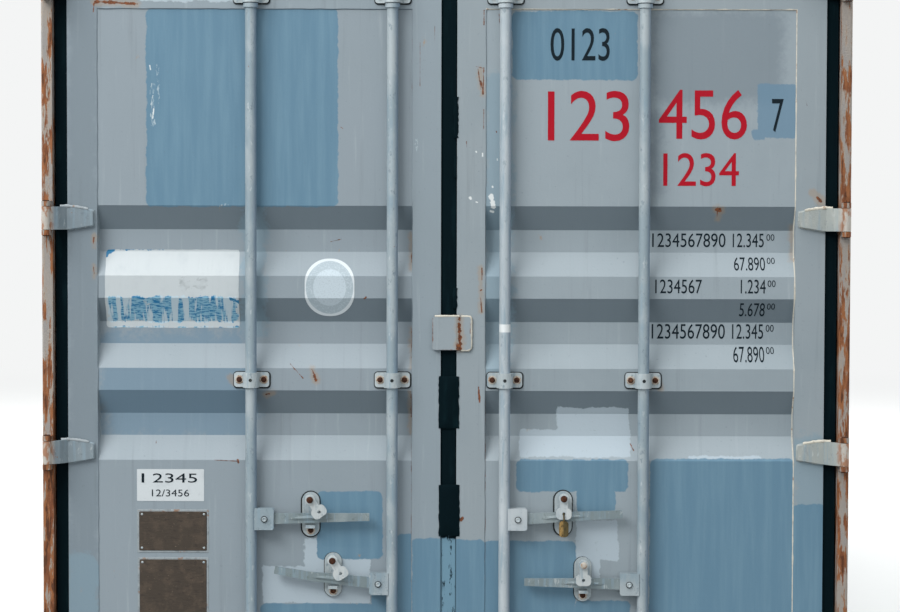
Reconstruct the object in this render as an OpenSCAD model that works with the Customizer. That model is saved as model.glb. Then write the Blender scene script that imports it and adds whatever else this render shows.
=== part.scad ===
// Steel shipping container, 20 ft long and 8 ft 6 in high, with two door leaves at one end.
// The doors face -Y, +X is to the right of someone who faces them, and the base stands on Z = 0.
// All sizes are in millimetres.

/* [Overall size] */
// Length over the corner castings
length = 6058; // [5000:1:9000]
// Width over the corner castings
width = 2438; // [2300:1:2600]
// Height over the corner castings
height = 2591; // [2500:1:2900]

/* [Corner castings] */
// Length of a casting, along the container
casting_l = 178; // [170:1:190]
// Width of a casting
casting_w = 162; // [155:1:170]
// Height of a casting
casting_h = 118; // [112:1:125]
// Thickness of the three outer walls
casting_wall = 28; // [22:1:32]
// Thickness of the three inner walls
casting_back = 14; // [10:1:20]
// Length of the slot in the top or bottom face
slot_l = 124.5; // [115:0.5:126]
// Width of the slot in the top or bottom face
slot_w = 63.5; // [55:0.5:66]
// From the end plane to the centre of the slot
slot_from_end = 102.5; // [98:0.5:106]
// From the side plane to the centre of the slot
slot_from_side = 89.5; // [86:0.5:93]
// Length of the oval hole in the side face
side_hole_l = 79.5; // [70:0.5:90]
// Length of the oval hole in the end face
end_hole_l = 63.5; // [56:0.5:70]
// Height of the oval holes in the side and end faces
oval_h = 51; // [44:0.5:54]

/* [Base] */
// Height of the underside of the base above the feet of the castings
base_gap = 16; // [12:1:24]
// Height of the bottom side rails
bottom_rail_h = 158; // [140:1:180]
// Width of the flanges of the bottom side rails
bottom_rail_flange = 48; // [40:1:60]
// Steel thickness of the bottom side rails
bottom_rail_t = 4.5; // [3:0.5:8]
// Height of a crossmember
crossmember_h = 122; // [100:1:130]
// Width of the flanges of a crossmember
crossmember_flange = 45; // [35:1:60]
// Steel thickness of a crossmember
crossmember_t = 4; // [3:0.5:6]
// Distance from one crossmember to the next
crossmember_pitch = 305; // [250:5:400]
// Thickness of the plywood floor
floor_t = 28; // [20:1:32]
// Gap between the floor and the steel beside it
floor_gap = 1; // [0.5:0.5:4]
// Width of a fork pocket
fork_w = 360; // [320:5:380]
// Height of a fork pocket
fork_h = 112; // [100:1:114]
// From the middle of the container to the centre of a fork pocket
fork_centre = 1025; // [900:5:1050]
// Steel thickness of the fork pockets
fork_t = 5; // [3:0.5:8]
// Length of the strap that closes each end of a fork pocket from below
fork_strap_l = 200; // [150:10:300]

/* [Walls and roof] */
// How far the posts, walls and rails stand in from the faces of the castings
inset = 3; // [0:0.5:6]
// Side of the square top side rails
top_rail = 60; // [50:1:70]
// Steel thickness of the tubes of the frame
tube_t = 4; // [3:0.5:6]
// Thickness of the corrugated sheets
sheet_t = 2; // [1.6:0.1:3]
// Distance from one side wall corrugation to the next
side_pitch = 278; // [250:1:300]
// Depth of the side wall corrugations
side_depth = 36; // [25:1:40]
// Width of the flats of the side wall corrugations
side_flat = 71; // [60:1:75]
// Distance from one front wall corrugation to the next
front_pitch = 250; // [220:1:280]
// Depth of the front wall corrugations
front_depth = 45; // [30:1:50]
// Width of the flats of the front wall corrugations
front_flat = 107; // [90:1:110]
// Distance from one roof corrugation to the next
roof_pitch = 209; // [180:1:240]
// Height of the roof corrugations
roof_depth = 20; // [10:1:25]
// Width of the flats of the roof corrugations
roof_flat = 91; // [70:1:92]
// How far the roof lies below the tops of the castings
roof_drop = 6; // [6:1:12]
// Width of a front post, seen from the front
front_post_face = 110; // [90:1:130]
// Depth of the narrow leg of a front post
front_post_leg = 50; // [46:1:60]
// Height of the front sill above the base
front_sill_h = 158; // [140:1:180]
// Height of the front header
front_header_h = 120; // [118:1:130]

/* [Doorway] */
// Distance from the end plane back to the front of the door posts
post_front = 50; // [46:1:56]
// Width of a door post, seen from the front
post_face = 36; // [34:1:46]
// Radius of the outer corner of a door post
post_round = 8; // [4:1:10]
// How far the lip behind the leaves reaches in beyond the post
jamb_lip = 9; // [6:1:14]
// Distance from the end plane back to the lip behind the leaves
lip_front = 130; // [128:1:140]
// Distance from the end plane back to the front of the header and the sill
beam_front = 78; // [77:1:84]
// Height of the top of the sill where the leaves close
sill_top = 152; // [148:1:160]
// Height of the sill lip above that
sill_lip = 22; // [18:1:26]
// Height of the header, without its castings
header_h = 120; // [118:1:130]
// How far the header lip hangs below the header
header_lip = 17; // [12:1:24]

/* [Door leaves] */
// Distance from the end plane back to the front of the leaves
leaf_front = 75; // [72:1:76]
// Thickness of the frame of a leaf
leaf_t = 50; // [44:1:50]
// Gap between the doorway and the frame of a leaf, which the gasket fills
leaf_gap = 41; // [36:1:46]
// Gap between the frames of the two leaves
centre_gap = 48; // [40:1:56]
// How far the middle of that gap lies to the right of the middle of the container
centre_shift = 8; // [0:1:12]
// Width of the stiles beside the middle
stile_w = 85; // [75:1:100]
// Width of the stiles beside the posts
outer_stile_w = 89; // [75:1:100]
// Height of the top and bottom rails of a leaf
leaf_rail_h = 132; // [110:1:150]
// How far the panel lies behind the front of its frame
panel_inset = 3; // [1:0.5:6]
// Depth of the pressed troughs
trough_depth = 36; // [25:1:40]
// Height of the flats of the troughs
trough_flat = 67; // [60:1:75]
// Distance from one trough to the next
trough_pitch = 279; // [250:1:300]
// Height of the middle trough above the base
trough_mid_z = 1315; // [1200:1:1400]
// Number of troughs in a leaf
trough_n = 3; // [1:1:5]
// Gap that stays open round a moving leaf
leaf_play = 5; // [3:0.5:8]
// Depth of the gasket
gasket_t = 38; // [30:1:40]
// How far the gasket lies behind the front of the leaf
gasket_inset = 7; // [4:1:10]

/* [Hinges] */
// From the side plane to the centre of a hinge pin
pin_from_side = 22; // [15:0.5:24]
// From the end plane to the centre of a hinge pin
pin_from_end = 16; // [15:0.5:18]
// Radius of a hinge pin
pin_r = 8; // [6:0.5:9]
// Radius of the head of a hinge pin
pin_head_r = 10; // [9:0.5:12]
// Height of the head of a hinge pin
pin_head_h = 3; // [2:0.5:8]
// Radius of the knuckle of a blade and of the lugs
knuckle_r = 13; // [12:0.5:15]
// Thickness of a hinge blade
blade_t = 12; // [10:0.5:12]
// Height of a blade at its knuckle
blade_h = 69; // [60:1:75]
// Height of a blade at its free end
blade_end_h = 42; // [36:1:60]
// Length of a blade, from the pin to its free end
blade_l = 133; // [120:1:150]
// Thickness of a hinge lug
lug_t = 15; // [12:1:22]
// Gap between a blade and its lugs
lug_gap = 1.5; // [1:0.5:3]
// Radial clearance of a turning pin in its bore
bore_play = 0.05; // [0.03:0.01:0.1]
// Height of the lowest hinge
hinge_z = 253; // [240:1:300]
// From the top of the castings down to the highest hinge
hinge_drop = 226; // [210:1:280]
// Number of hinges on a leaf
hinge_n = 4; // [3:1:4]

/* [Lock bars] */
// Distance from the end plane back to the centre of the bars
bar_depth = 50; // [49:1:51]
// Radius of a bar
bar_r = 17; // [15:0.5:18]
// Steel thickness of a bar
bar_t = 4; // [3:0.5:6]
// Centre of the outer left bar, to the left of the middle
bar_left_outer = 587; // [560:1:640]
// Centre of the inner left bar, to the left of the middle
bar_left_inner = 162; // [150:1:185]
// Centre of the inner right bar, to the right of the middle
bar_right_inner = 177; // [165:1:200]
// Centre of the outer right bar, to the right of the middle
bar_right_outer = 595; // [560:1:640]
// Height of the middle of the lower cams
cam_low_z = 92; // [90:1:96]
// Height of the middle of the upper cams below the top of the castings
cam_drop = 86; // [84:1:90]
// Radius of the hub of a cam
cam_hub_r = 20; // [18:0.5:21]
// Radius of the nose of a cam
cam_r = 40; // [36:0.5:40]
// Height of a cam
cam_h = 34; // [28:1:38]
// Radial clearance between a cam and its keeper
cam_play = 2; // [1:0.5:3]
// Thickness of the side of a keeper
keeper_wall = 14; // [10:1:16]
// Height of a keeper
keeper_h = 50; // [42:1:54]
// Radial clearance of a bar in its guides
guide_play = 0.5; // [0.3:0.1:1]
// Width of a guide bracket
guide_w = 106; // [90:1:110]
// Height of a guide bracket
guide_h = 45; // [36:1:50]
// Thickness of the foot of a guide bracket
guide_foot = 8; // [6:1:9]
// Wall of a guide bracket round its bar
guide_wall = 7; // [5:0.5:8]
// From the top of the castings down to the middle of the top guides
guide_drop = 261; // [250:1:280]
// Radius of the rounded corners of a guide bracket
guide_round = 9; // [4:1:14]
// Radius of the collar on a bar below its top guide
collar_r = 22; // [20:0.5:24]
// Height of that collar
collar_h = 12; // [8:1:16]
// Height of the middle guides
guide_mid_z = 1175; // [1165:1:1185]
// Height of the bottom guides
guide_low_z = 292; // [270:1:310]

/* [Handles] */
// Height of the pivots of the two upper handles
handle_high_z = 756; // [720:1:780]
// Height of the pivots of the two lower handles
handle_low_z = 560; // [520:1:580]
// From the centre of a bar to the pivot of its handle
pivot_out = 41; // [38:1:45]
// Radius of the pivot bolt of a handle
pivot_r = 7; // [5:0.5:8]
// Length of a handle beyond its pivot
handle_l = 316; // [290:1:318]
// Height of a handle at its pivot
handle_h = 34; // [30:1:38]
// Height of a handle at its free end
handle_end_h = 22; // [18:1:26]
// Thickness of a handle
handle_t = 12; // [10:0.5:12]
// Height of the raised rib on a handle
rib_h = 15; // [10:1:18]
// Length of the raised rib on a handle
rib_l = 138; // [110:1:150]
// How far the rib stands out of the handle
rib_t = 4; // [2:0.5:4]
// Width of the handle hub, from the centre of the bar
hub_out = 69; // [64:1:72]
// Height of the handle hub
hub_h = 66; // [56:1:70]
// Radius of the outer corners of the hub
hub_round = 7; // [3:1:12]
// Thickness of the two cheeks of the hub
hub_t = 8; // [6:0.5:9]
// Gap between a handle and the cheeks of its hub
hub_gap = 2; // [1:0.5:3]

/* [Catches] */
// From a handle's pivot to the centre of its catch
catch_out = 138; // [130:1:145]
// Width of a catch plate
catch_w = 52; // [44:1:56]
// Height of a catch plate
catch_h = 134; // [130:1:140]
// Thickness of a catch plate
catch_t = 8; // [6:0.5:9]
// Height of the latch pivot above the handle
latch_up = 58; // [54:1:60]
// Distance of the handle's bolt hole below, where the plate is fastened
catch_bolt_down = 40; // [36:1:44]
// Width of the ledge under the handle
ledge_w = 28; // [22:1:34]
// Height of the ledge under the handle
ledge_h = 9; // [6:1:12]
// Gap between a handle and its ledge
ledge_gap = 5; // [3:0.5:6]
// Radius of the latch pivot bolt
latch_pin_r = 6; // [5:0.5:7]
// Radius of the head of that bolt
latch_head_r = 11; // [9:0.5:12]
// Distance from the latch pivot to the centre of its lobe
latch_l = 46; // [42:1:50]
// Radius of a latch at its pivot
latch_top_r = 15; // [12:1:17]
// Width of the neck of a latch
latch_neck = 24; // [18:1:28]
// Width of the lobe of a latch
latch_lobe_w = 46; // [38:1:50]
// Height of the lobe of a latch
latch_lobe_h = 34; // [28:1:38]
// Thickness of a latch
latch_t = 8; // [6:0.5:8]
// Gap between a handle's rib and the latch in front of it
latch_gap = 8; // [6:0.5:9]
// Radius of the hole in the lobe of a latch
seal_hole_r = 5; // [4:0.5:6]

/* [Overlap plate] */
// Width of the plate that laps from the right leaf over the left one
lap_w = 117; // [100:1:125]
// How far it laps over the stile of the left leaf
lap_over = 26; // [20:1:35]
// Height of that plate
lap_h = 100; // [80:1:120]
// Height of its centre above the base
lap_z = 1316; // [1290:1:1330]
// Thickness of that plate
lap_t = 7; // [5:0.5:9]
// Place across where that plate starts to step back
lap_bend = 29; // [20:1:31]
// Width of the step
lap_step = 16; // [10:1:20]
// Radius of its corners
lap_round = 8; // [4:1:14]

/* [Padlock] */
// Width of the padlock body
lock_w = 28; // [24:1:34]
// Height of the padlock body
lock_h = 48; // [38:1:50]
// Radius of its rounded corners
lock_round = 10; // [4:1:14]
// Thickness of the padlock body
lock_t = 14; // [12:1:14]
// Radius of the rod of the shackle
shackle_r = 2.5; // [2:0.25:2.5]
// Gap between the shackle and the latch it goes through
shackle_play = 0.5; // [0.3:0.1:1]
// Length of the shackle below its bend
shackle_l = 15; // [13:1:20]

/* [Hidden] */

$fn = 48;
paint = "#8fa0aa";
repaint = "#5d84a0";
galvanised = "#b4bcbf";
rubber = "#23272a";
rust = "#8a5a3c";
timber = "#9a7b54";
brass = "#b08a3e";

end_y = -length / 2;
side_x = width / 2 - inset;
floor_top = base_gap + bottom_rail_h;
floor_under = floor_top - floor_t;
roof_under = height - roof_drop - roof_depth - sheet_t;
rail_under = roof_under - top_rail;
beam_top = height - roof_drop;
front_beam_y = length / 2 - inset - front_depth - 2 * sheet_t;
doorway_x = width / 2 - post_face;
doorway_top = height - roof_drop - header_h;
clear_x = doorway_x - jamb_lip;
leaf_bottom = sill_top + leaf_gap;
leaf_top = doorway_top - leaf_gap;
leaf_outer = doorway_x - leaf_gap;
left_edge = centre_shift - centre_gap / 2;
right_edge = centre_shift + centre_gap / 2;
pin_x = width / 2 - pin_from_side;
pin_y = end_y + pin_from_end;
bar_y = end_y + bar_depth;
panel_front = leaf_front + panel_inset;
cam_high_z = height - cam_drop;
guide_top_z = height - guide_drop;
hinge_pitch = (height - hinge_drop - hinge_z) / (hinge_n - 1);
latch_back = bar_depth - handle_t / 2 - rib_t - latch_gap;

// Each bar: its place across, the way its handle points, the height of its pivot,
// how far the handle is tilted up, its further bend, and how far its latch is swung aside
LEFT_OUTER = [-bar_left_outer, 1, handle_high_z, 1, 0, 36];
LEFT_INNER = [-bar_left_inner, -1, handle_low_z, 6, 4, 32];
RIGHT_INNER = [bar_right_inner, 1, handle_high_z, 3, 0, 0];
RIGHT_OUTER = [bar_right_outer, -1, handle_low_z, 1, 0, 0];

// General shapes

module both_sides() {
    children();
    mirror([1, 0, 0]) children();
}

module both_ends() {
    children();
    mirror([0, 1, 0]) children();
}

// A box between two corners
module box(low, high) {
    translate(low) cube(high - low);
}

// A flat slot with round ends, its length along X
module slot_2d(l, w) {
    square([l - w, w], center = true);
    for (side = [-1, 1])
        translate([side * (l - w) / 2, 0]) circle(d = w);
}

module rounded_2d(w, h, r) {
    square([w - 2 * r, h], center = true);
    square([w, h - 2 * r], center = true);
    for (x = [-1, 1], y = [-1, 1])
        translate([x * (w / 2 - r), y * (h / 2 - r)]) circle(r);
}

// Extrude a drawing made in X and Z along Y, from the depth near to the depth far
module plate_xz(near, far) {
    translate([0, far, 0]) rotate([90, 0, 0]) linear_extrude(far - near) children();
}

// Extrude a drawing made in Y and Z along X, from x = low to x = high
module along_x(low, high) {
    translate([low, 0, 0]) rotate([90, 0, 90]) linear_extrude(high - low) children();
}

// Corners of one corrugation that starts at s: out, slope, in, slope
function wave(s, pitch, flat, depth) =
    let (slope = pitch / 2 - flat)
    [[s + flat / 2, 0], [s + flat / 2 + slope, depth],
     [s + flat * 1.5 + slope, depth], [s + flat * 1.5 + 2 * slope, 0]];

// The line of a corrugated sheet of a length, centred on 0, with flat ends
function wave_line(span, pitch, flat, depth) =
    let (n = floor((span - flat) / pitch), start = -n * pitch / 2)
    concat([[-span / 2, 0]],
        [for (i = [0 : n - 1]) each wave(start + i * pitch, pitch, flat, depth)],
        [[span / 2, 0]]);

// A sheet that follows a line, with its thickness in the second direction
module sheet_2d(line, t) {
    n = len(line);
    polygon(concat(line, [for (i = [n - 1 : -1 : 0]) line[i] + [0, t]]));
}

// Frame of the container

module corner_casting() {
    outer = [casting_wall, casting_wall, casting_wall];
    inner = [casting_w - casting_back, casting_l - casting_back, casting_h - casting_back];
    difference() {
        cube([casting_w, casting_l, casting_h]);
        box(outer, inner);
        translate([slot_from_side, slot_from_end, -1])
            linear_extrude(casting_wall + 2) rotate(90) slot_2d(slot_l, slot_w);
        translate([-1, slot_from_end, casting_h / 2]) rotate([90, 0, 90])
            linear_extrude(casting_wall + 2) slot_2d(side_hole_l, oval_h);
        translate([slot_from_side, casting_wall + 1, casting_h / 2]) rotate([90, 0, 0])
            linear_extrude(casting_wall + 2) slot_2d(end_hole_l, oval_h);
    }
}

module four_castings() {
    both_ends() both_sides() translate([-width / 2, end_y, 0]) corner_casting();
}

module bottom_corner_castings() {
    color(paint) four_castings();
}

module top_corner_castings() {
    color(paint) translate([0, 0, height]) mirror([0, 0, 1]) four_castings();
}

// Section of a door post, with its lip: X inwards from the side plane, Y back from the end plane
module rear_post_2d(grow) {
    low = [inset + grow, post_front + grow];
    r = post_round - grow;
    difference() {
        translate(low) square([post_face - grow - low[0], casting_l - grow - low[1]]);
        translate(low) square(r);
    }
    translate(low + [r, r]) circle(r);
    translate([low[0], lip_front + grow])
        square([post_face + jamb_lip - grow - low[0], casting_l - lip_front - 2 * grow]);
}

module rear_posts() {
    color(rust) both_sides() translate([-width / 2, end_y, casting_h])
        linear_extrude(height - 2 * casting_h) difference() {
            rear_post_2d(0);
            rear_post_2d(tube_t);
        }
}

// Section of a front post, drawn like that of a door post
module front_post_2d(grow) {
    low = inset + grow;
    bend = grow * tan(22.5);
    wide = front_post_face - grow;
    leg = front_post_leg - grow;
    polygon([[low, low], [wide, low], [wide, front_post_leg - bend],
        [leg, front_post_face - bend], [leg, casting_l - grow], [low, casting_l - grow]]);
}

module front_posts() {
    color(repaint) both_sides() translate([-width / 2, -end_y, casting_h]) mirror([0, 1, 0])
        linear_extrude(height - 2 * casting_h) difference() {
            front_post_2d(0);
            front_post_2d(tube_t);
        }
}

module bottom_rail_2d() {
    difference() {
        square([bottom_rail_flange, bottom_rail_h]);
        translate([bottom_rail_t, bottom_rail_t])
            square([bottom_rail_flange, bottom_rail_h - 2 * bottom_rail_t]);
    }
}

module fork_cut() {
    low = floor_under - fork_t - fork_h;
    both_ends() box([-width, fork_centre - fork_w / 2, low], [width, fork_centre + fork_w / 2, low + fork_h]);
}

module bottom_side_rails() {
    span = length - 2 * casting_l;
    color(repaint) difference() {
        both_sides() translate([-side_x, span / 2, base_gap]) rotate([90, 0, 0])
            linear_extrude(span) bottom_rail_2d();
        fork_cut();
    }
}

module top_side_rails() {
    span = length - 2 * casting_l;
    color(repaint) both_sides() translate([-side_x, span / 2, rail_under]) rotate([90, 0, 0])
        linear_extrude(span) difference() {
            square(top_rail);
            translate([tube_t, tube_t]) square(top_rail - 2 * tube_t);
        }
}

module side_wall() {
    line = wave_line(length - 2 * casting_l, side_pitch, side_flat, side_depth);
    translate([-side_x, 0, floor_top]) linear_extrude(rail_under - floor_top)
        mirror([1, -1]) sheet_2d(line, sheet_t);
}

module left_side_wall() {
    color(repaint) side_wall();
}

module right_side_wall() {
    color(repaint) mirror([1, 0, 0]) side_wall();
}

module front_wall() {
    span = width - 2 * front_post_face;
    low = base_gap + front_sill_h;
    high = beam_top - front_header_h;
    line = wave_line(span, front_pitch, front_flat, front_depth);
    color(repaint) translate([0, -end_y - inset, low]) linear_extrude(high - low)
        mirror([0, 1]) sheet_2d(line, sheet_t);
}

// A hollow beam across the front end, between the castings and between the posts
module front_beam(low, high) {
    inner_x = width / 2 - casting_w;
    post_x = width / 2 - front_post_face;
    y_out = -end_y - inset;
    y_in = front_beam_y;
    difference() {
        union() {
            box([-inner_x, y_in, low], [inner_x, y_out, high]);
            box([-post_x, y_in, max(low, casting_h)], [post_x, y_out, min(high, height - casting_h)]);
        }
        box([-inner_x - 1, y_in + tube_t, low + tube_t], [inner_x + 1, y_out - tube_t, high - tube_t]);
    }
}

module front_sill() {
    color(repaint) front_beam(base_gap, base_gap + front_sill_h);
}

// The header has a plate that closes the gap to the roof
module front_header() {
    inner_x = width / 2 - casting_w;
    color(repaint) {
        front_beam(beam_top - front_header_h, beam_top);
        box([-inner_x, -end_y - casting_l, roof_under], [inner_x, front_beam_y, roof_under + tube_t]);
    }
}

module roof() {
    span = length - 2 * casting_l;
    line = wave_line(span, roof_pitch, roof_flat, roof_depth);
    color(repaint) translate([0, 0, roof_under]) along_x(-side_x + top_rail / 2, side_x - top_rail / 2)
        sheet_2d(line, sheet_t);
}

module floor() {
    half_x = side_x - bottom_rail_flange - floor_gap;
    half_y = length / 2 - casting_l - floor_gap;
    front_x = width / 2 - front_post_face - floor_gap;
    color(timber) {
        box([-half_x, -half_y, floor_under], [half_x, half_y, floor_top]);
        box([-front_x, 0, floor_under], [front_x, front_beam_y - floor_gap, floor_top]);
    }
}

module crossmember_2d() {
    difference() {
        square([crossmember_flange, crossmember_h]);
        translate([crossmember_t, crossmember_t])
            square([crossmember_flange, crossmember_h - 2 * crossmember_t]);
    }
}

function beside_fork(y) =
    abs(abs(y + crossmember_flange / 2) - fork_centre) > fork_w / 2 + fork_t + crossmember_flange;

module crossmembers() {
    half_x = side_x - bottom_rail_t;
    span = length - 2 * casting_l - 2 * crossmember_flange;
    n = floor(span / crossmember_pitch);
    start = -n * crossmember_pitch / 2 - crossmember_flange / 2;
    color(rust) for (i = [0 : n]) {
        y = start + i * crossmember_pitch;
        if (beside_fork(y))
            translate([0, y, floor_under - crossmember_h]) along_x(-half_x, half_x) crossmember_2d();
    }
}

module fork_pocket() {
    half_x = side_x - bottom_rail_t;
    low = floor_under - fork_t - fork_h;
    half_w = fork_w / 2;
    difference() {
        box([-half_x, -half_w - fork_t, low], [half_x, half_w + fork_t, floor_under]);
        box([-half_x - 1, -half_w, low - 1], [half_x + 1, half_w, low + fork_h]);
    }
    both_sides()
        box([-half_x, -half_w - fork_t, low - fork_t], [fork_strap_l - half_x, half_w + fork_t, low]);
}

module fork_pockets() {
    color(rust) both_ends() translate([0, fork_centre, 0]) fork_pocket();
}

// Doorway

// Section of the header: Y back from the end plane, Z up
module header_2d(grow) {
    translate([beam_front + grow, height - casting_h + grow])
        square([casting_l - beam_front - 2 * grow, casting_h - roof_drop - 2 * grow]);
}

module door_header() {
    inner_x = width / 2 - casting_w;
    under = height - casting_h;
    color(repaint) translate([0, end_y, 0]) {
        along_x(-inner_x, inner_x) difference() {
            header_2d(0);
            header_2d(tube_t);
        }
        box([-clear_x, beam_front, doorway_top], [clear_x, casting_l, under]);
        box([-clear_x, lip_front, doorway_top - header_lip], [clear_x, casting_l, doorway_top]);
    }
}

module door_sill() {
    inner_x = width / 2 - casting_w;
    lip_top = sill_top + sill_lip;
    color(repaint) translate([0, end_y, 0]) {
        along_x(-inner_x, inner_x) difference() {
            translate([beam_front, base_gap]) square([casting_l - beam_front, casting_h - base_gap]);
            translate([beam_front + tube_t, base_gap + tube_t])
                square([casting_l - beam_front - 2 * tube_t, casting_h - base_gap - 2 * tube_t]);
        }
        box([-clear_x, beam_front, casting_h], [clear_x, casting_l, sill_top]);
        box([-clear_x, lip_front, sill_top], [clear_x, casting_l, lip_top]);
    }
}

// A keeper for a bar at X = 0 whose cam nose points to +X: a foot and a hooked prong
module keeper() {
    foot_y = beam_front - bar_depth;
    prong_x = cam_r + cam_play;
    foot_t = foot_y - cam_hub_r - cam_play;
    tip_x = cam_hub_r + leaf_play;
    front = prong_x + 2;
    translate([0, 0, -keeper_h / 2]) linear_extrude(keeper_h) {
        translate([-cam_hub_r, foot_y - foot_t]) square([prong_x + cam_hub_r + keeper_wall, foot_t]);
        difference() {
            translate([tip_x, -front]) square([prong_x + keeper_wall - tip_x, front + foot_y]);
            circle(prong_x);
            translate([0, 0]) square([prong_x, foot_y - foot_t]);
        }
    }
}

module keepers_of(bar) {
    for (z = [cam_low_z, cam_high_z])
        translate([bar[0], bar_y, z]) mirror([bar[1] > 0 ? 0 : 1, 0, 0]) keeper();
}

module cam_keepers() {
    color(galvanised) for (bar = [LEFT_OUTER, LEFT_INNER, RIGHT_INNER, RIGHT_OUTER]) keepers_of(bar);
}

// Hinges, drawn for the right leaf with the pin at the origin

module at_hinges() {
    for (i = [0 : hinge_n - 1])
        translate([pin_x, pin_y, hinge_z + i * hinge_pitch]) children();
}

module lug() {
    reach = post_front - pin_from_end;
    linear_extrude(lug_t) difference() {
        union() {
            circle(knuckle_r);
            translate([-knuckle_r, 0]) square([knuckle_r + pin_from_side - inset - post_round, reach]);
        }
        circle(pin_r + bore_play);
    }
}

module hinge_lugs() {
    color(rust) both_sides() at_hinges() {
        translate([0, 0, blade_h / 2 + lug_gap]) lug();
        translate([0, 0, -blade_h / 2 - lug_gap - lug_t]) lug();
    }
}

module hinge_pins() {
    half = blade_h / 2 + lug_gap + lug_t;
    color(rust) both_sides() at_hinges() {
        translate([0, 0, -half]) cylinder(r = pin_r, h = 2 * half);
        for (z = [-half - pin_head_h, half])
            translate([0, 0, z]) cylinder(r = pin_head_r, h = pin_head_h);
    }
}

// The side of a bent strip that runs through points, at a distance to its left
function strip_side(points, off) =
    let (n = len(points) - 1,
        dir = [for (i = [0 : n - 1]) (points[i + 1] - points[i]) / norm(points[i + 1] - points[i])],
        left = [for (d = dir) [-d[1], d[0]]])
    [for (i = [0 : n])
        let (a = left[max(i - 1, 0)], b = left[min(i, n - 1)])
        points[i] + off * (a + b) / (1 + a * b)];

// A bent strip of a thickness that runs through points
module strip_2d(points, t) {
    one = strip_side(points, t / 2);
    other = strip_side(points, -t / 2);
    n = len(points) - 1;
    polygon(concat(one, [for (i = [n : -1 : 0]) other[i]]));
}

// The blade goes slanting back from the pin, past the post, and lies on the stile
module blade_2d() {
    seat = leaf_front - pin_from_end - blade_t / 2;
    neck = [-(doorway_x - leaf_outer) * 0.75, seat * 0.45];
    bend = [pin_from_side + leaf_outer - width / 2 + 3, seat];
    difference() {
        union() {
            circle(knuckle_r);
            strip_2d([[0, 0], neck, bend, [-blade_l, seat]], blade_t);
        }
        circle(pin_r + bore_play);
    }
}

// Side view of a blade, which tapers to its free end
module blade_side_2d() {
    taper_x = leaf_outer - pin_x;
    polygon([[knuckle_r + 1, -blade_h / 2], [knuckle_r + 1, blade_h / 2], [taper_x, blade_h / 2],
        [-blade_l - 1, blade_end_h / 2], [-blade_l - 1, -blade_end_h / 2], [taper_x, -blade_h / 2]]);
}

module blade() {
    intersection() {
        translate([0, 0, -blade_h / 2]) linear_extrude(blade_h) blade_2d();
        plate_xz(-post_front, leaf_front) blade_side_2d();
    }
}

module right_hinge_blades() {
    color(paint) at_hinges() blade();
}

module left_hinge_blades() {
    color(paint) mirror([1, 0, 0]) at_hinges() blade();
}

// Door leaves

module leaf_frame(low_x, high_x, low_w, high_w) {
    difference() {
        box([low_x, end_y + leaf_front, leaf_bottom], [high_x, end_y + leaf_front + leaf_t, leaf_top]);
        box([low_x + low_w, end_y, leaf_bottom + leaf_rail_h],
            [high_x - high_w, end_y + casting_l, leaf_top - leaf_rail_h]);
    }
}

module left_leaf_frame() {
    color(paint) leaf_frame(-leaf_outer, left_edge, outer_stile_w, stile_w);
}

module right_leaf_frame() {
    color(paint) leaf_frame(right_edge, leaf_outer, stile_w, outer_stile_w);
}

// The line of the panel, from its lower to its upper edge, as height and depth
function panel_line() =
    let (slope = trough_pitch / 2 - trough_flat,
        start = trough_mid_z - trough_n * trough_pitch / 2)
    concat([[leaf_bottom + leaf_rail_h, 0]],
        [for (i = [0 : trough_n - 1]) each wave(start + i * trough_pitch, trough_pitch, trough_flat, trough_depth)],
        [[leaf_top - leaf_rail_h, 0]]);

module leaf_panel(low_x, high_x) {
    translate([0, end_y + panel_front, 0]) along_x(low_x, high_x)
        mirror([1, -1]) sheet_2d(panel_line(), sheet_t);
}

module left_leaf_panel() {
    color(paint) leaf_panel(-leaf_outer + outer_stile_w, left_edge - stile_w);
}

module right_leaf_panel() {
    color(paint) leaf_panel(right_edge + stile_w, leaf_outer - outer_stile_w);
}

// The gasket round a leaf: a thick web on the leaf and a thinner lip that closes the gap
module gasket(low_x, high_x, low_lip, high_lip) {
    lip = leaf_gap - leaf_play;
    near = end_y + leaf_front + gasket_inset;
    far = near + gasket_t;
    difference() {
        box([low_x - low_lip, near, leaf_bottom - lip], [high_x + high_lip, far, leaf_top + lip]);
        box([low_x, near - 1, leaf_bottom], [high_x, far + 1, leaf_top]);
    }
}

module left_gasket() {
    color(rubber) gasket(-leaf_outer, left_edge, leaf_gap - leaf_play, (centre_gap - leaf_play) / 2);
}

module right_gasket() {
    color(rubber) gasket(right_edge, leaf_outer, (centre_gap - leaf_play) / 2, leaf_gap - leaf_play);
}

// The plate stands off the left leaf and steps back to lie on the right one
module overlap_plate() {
    back = end_y + leaf_front;
    low_x = left_edge - lap_over;
    off = leaf_play + lap_t / 2;
    line = [[low_x, -off], [lap_bend, -off], [lap_bend + lap_step, -lap_t / 2], [low_x + lap_w, -lap_t / 2]];
    color(paint) intersection() {
        translate([0, back, lap_z - lap_h / 2]) linear_extrude(lap_h) strip_2d(line, lap_t);
        translate([low_x + lap_w / 2, back, lap_z]) plate_xz(-leaf_front, 0) rounded_2d(lap_w, lap_h, lap_round);
    }
}

// Lock bars

module cam() {
    nose = 2 * cam_r;
    translate([0, 0, -cam_h / 2]) linear_extrude(cam_h) {
        circle(cam_hub_r);
        intersection() {
            circle(cam_r);
            polygon([[0, 0], nose * [cos(-10), sin(-10)], nose * [cos(-35), sin(-35)],
                nose * [cos(-60), sin(-60)]]);
        }
    }
}

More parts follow.
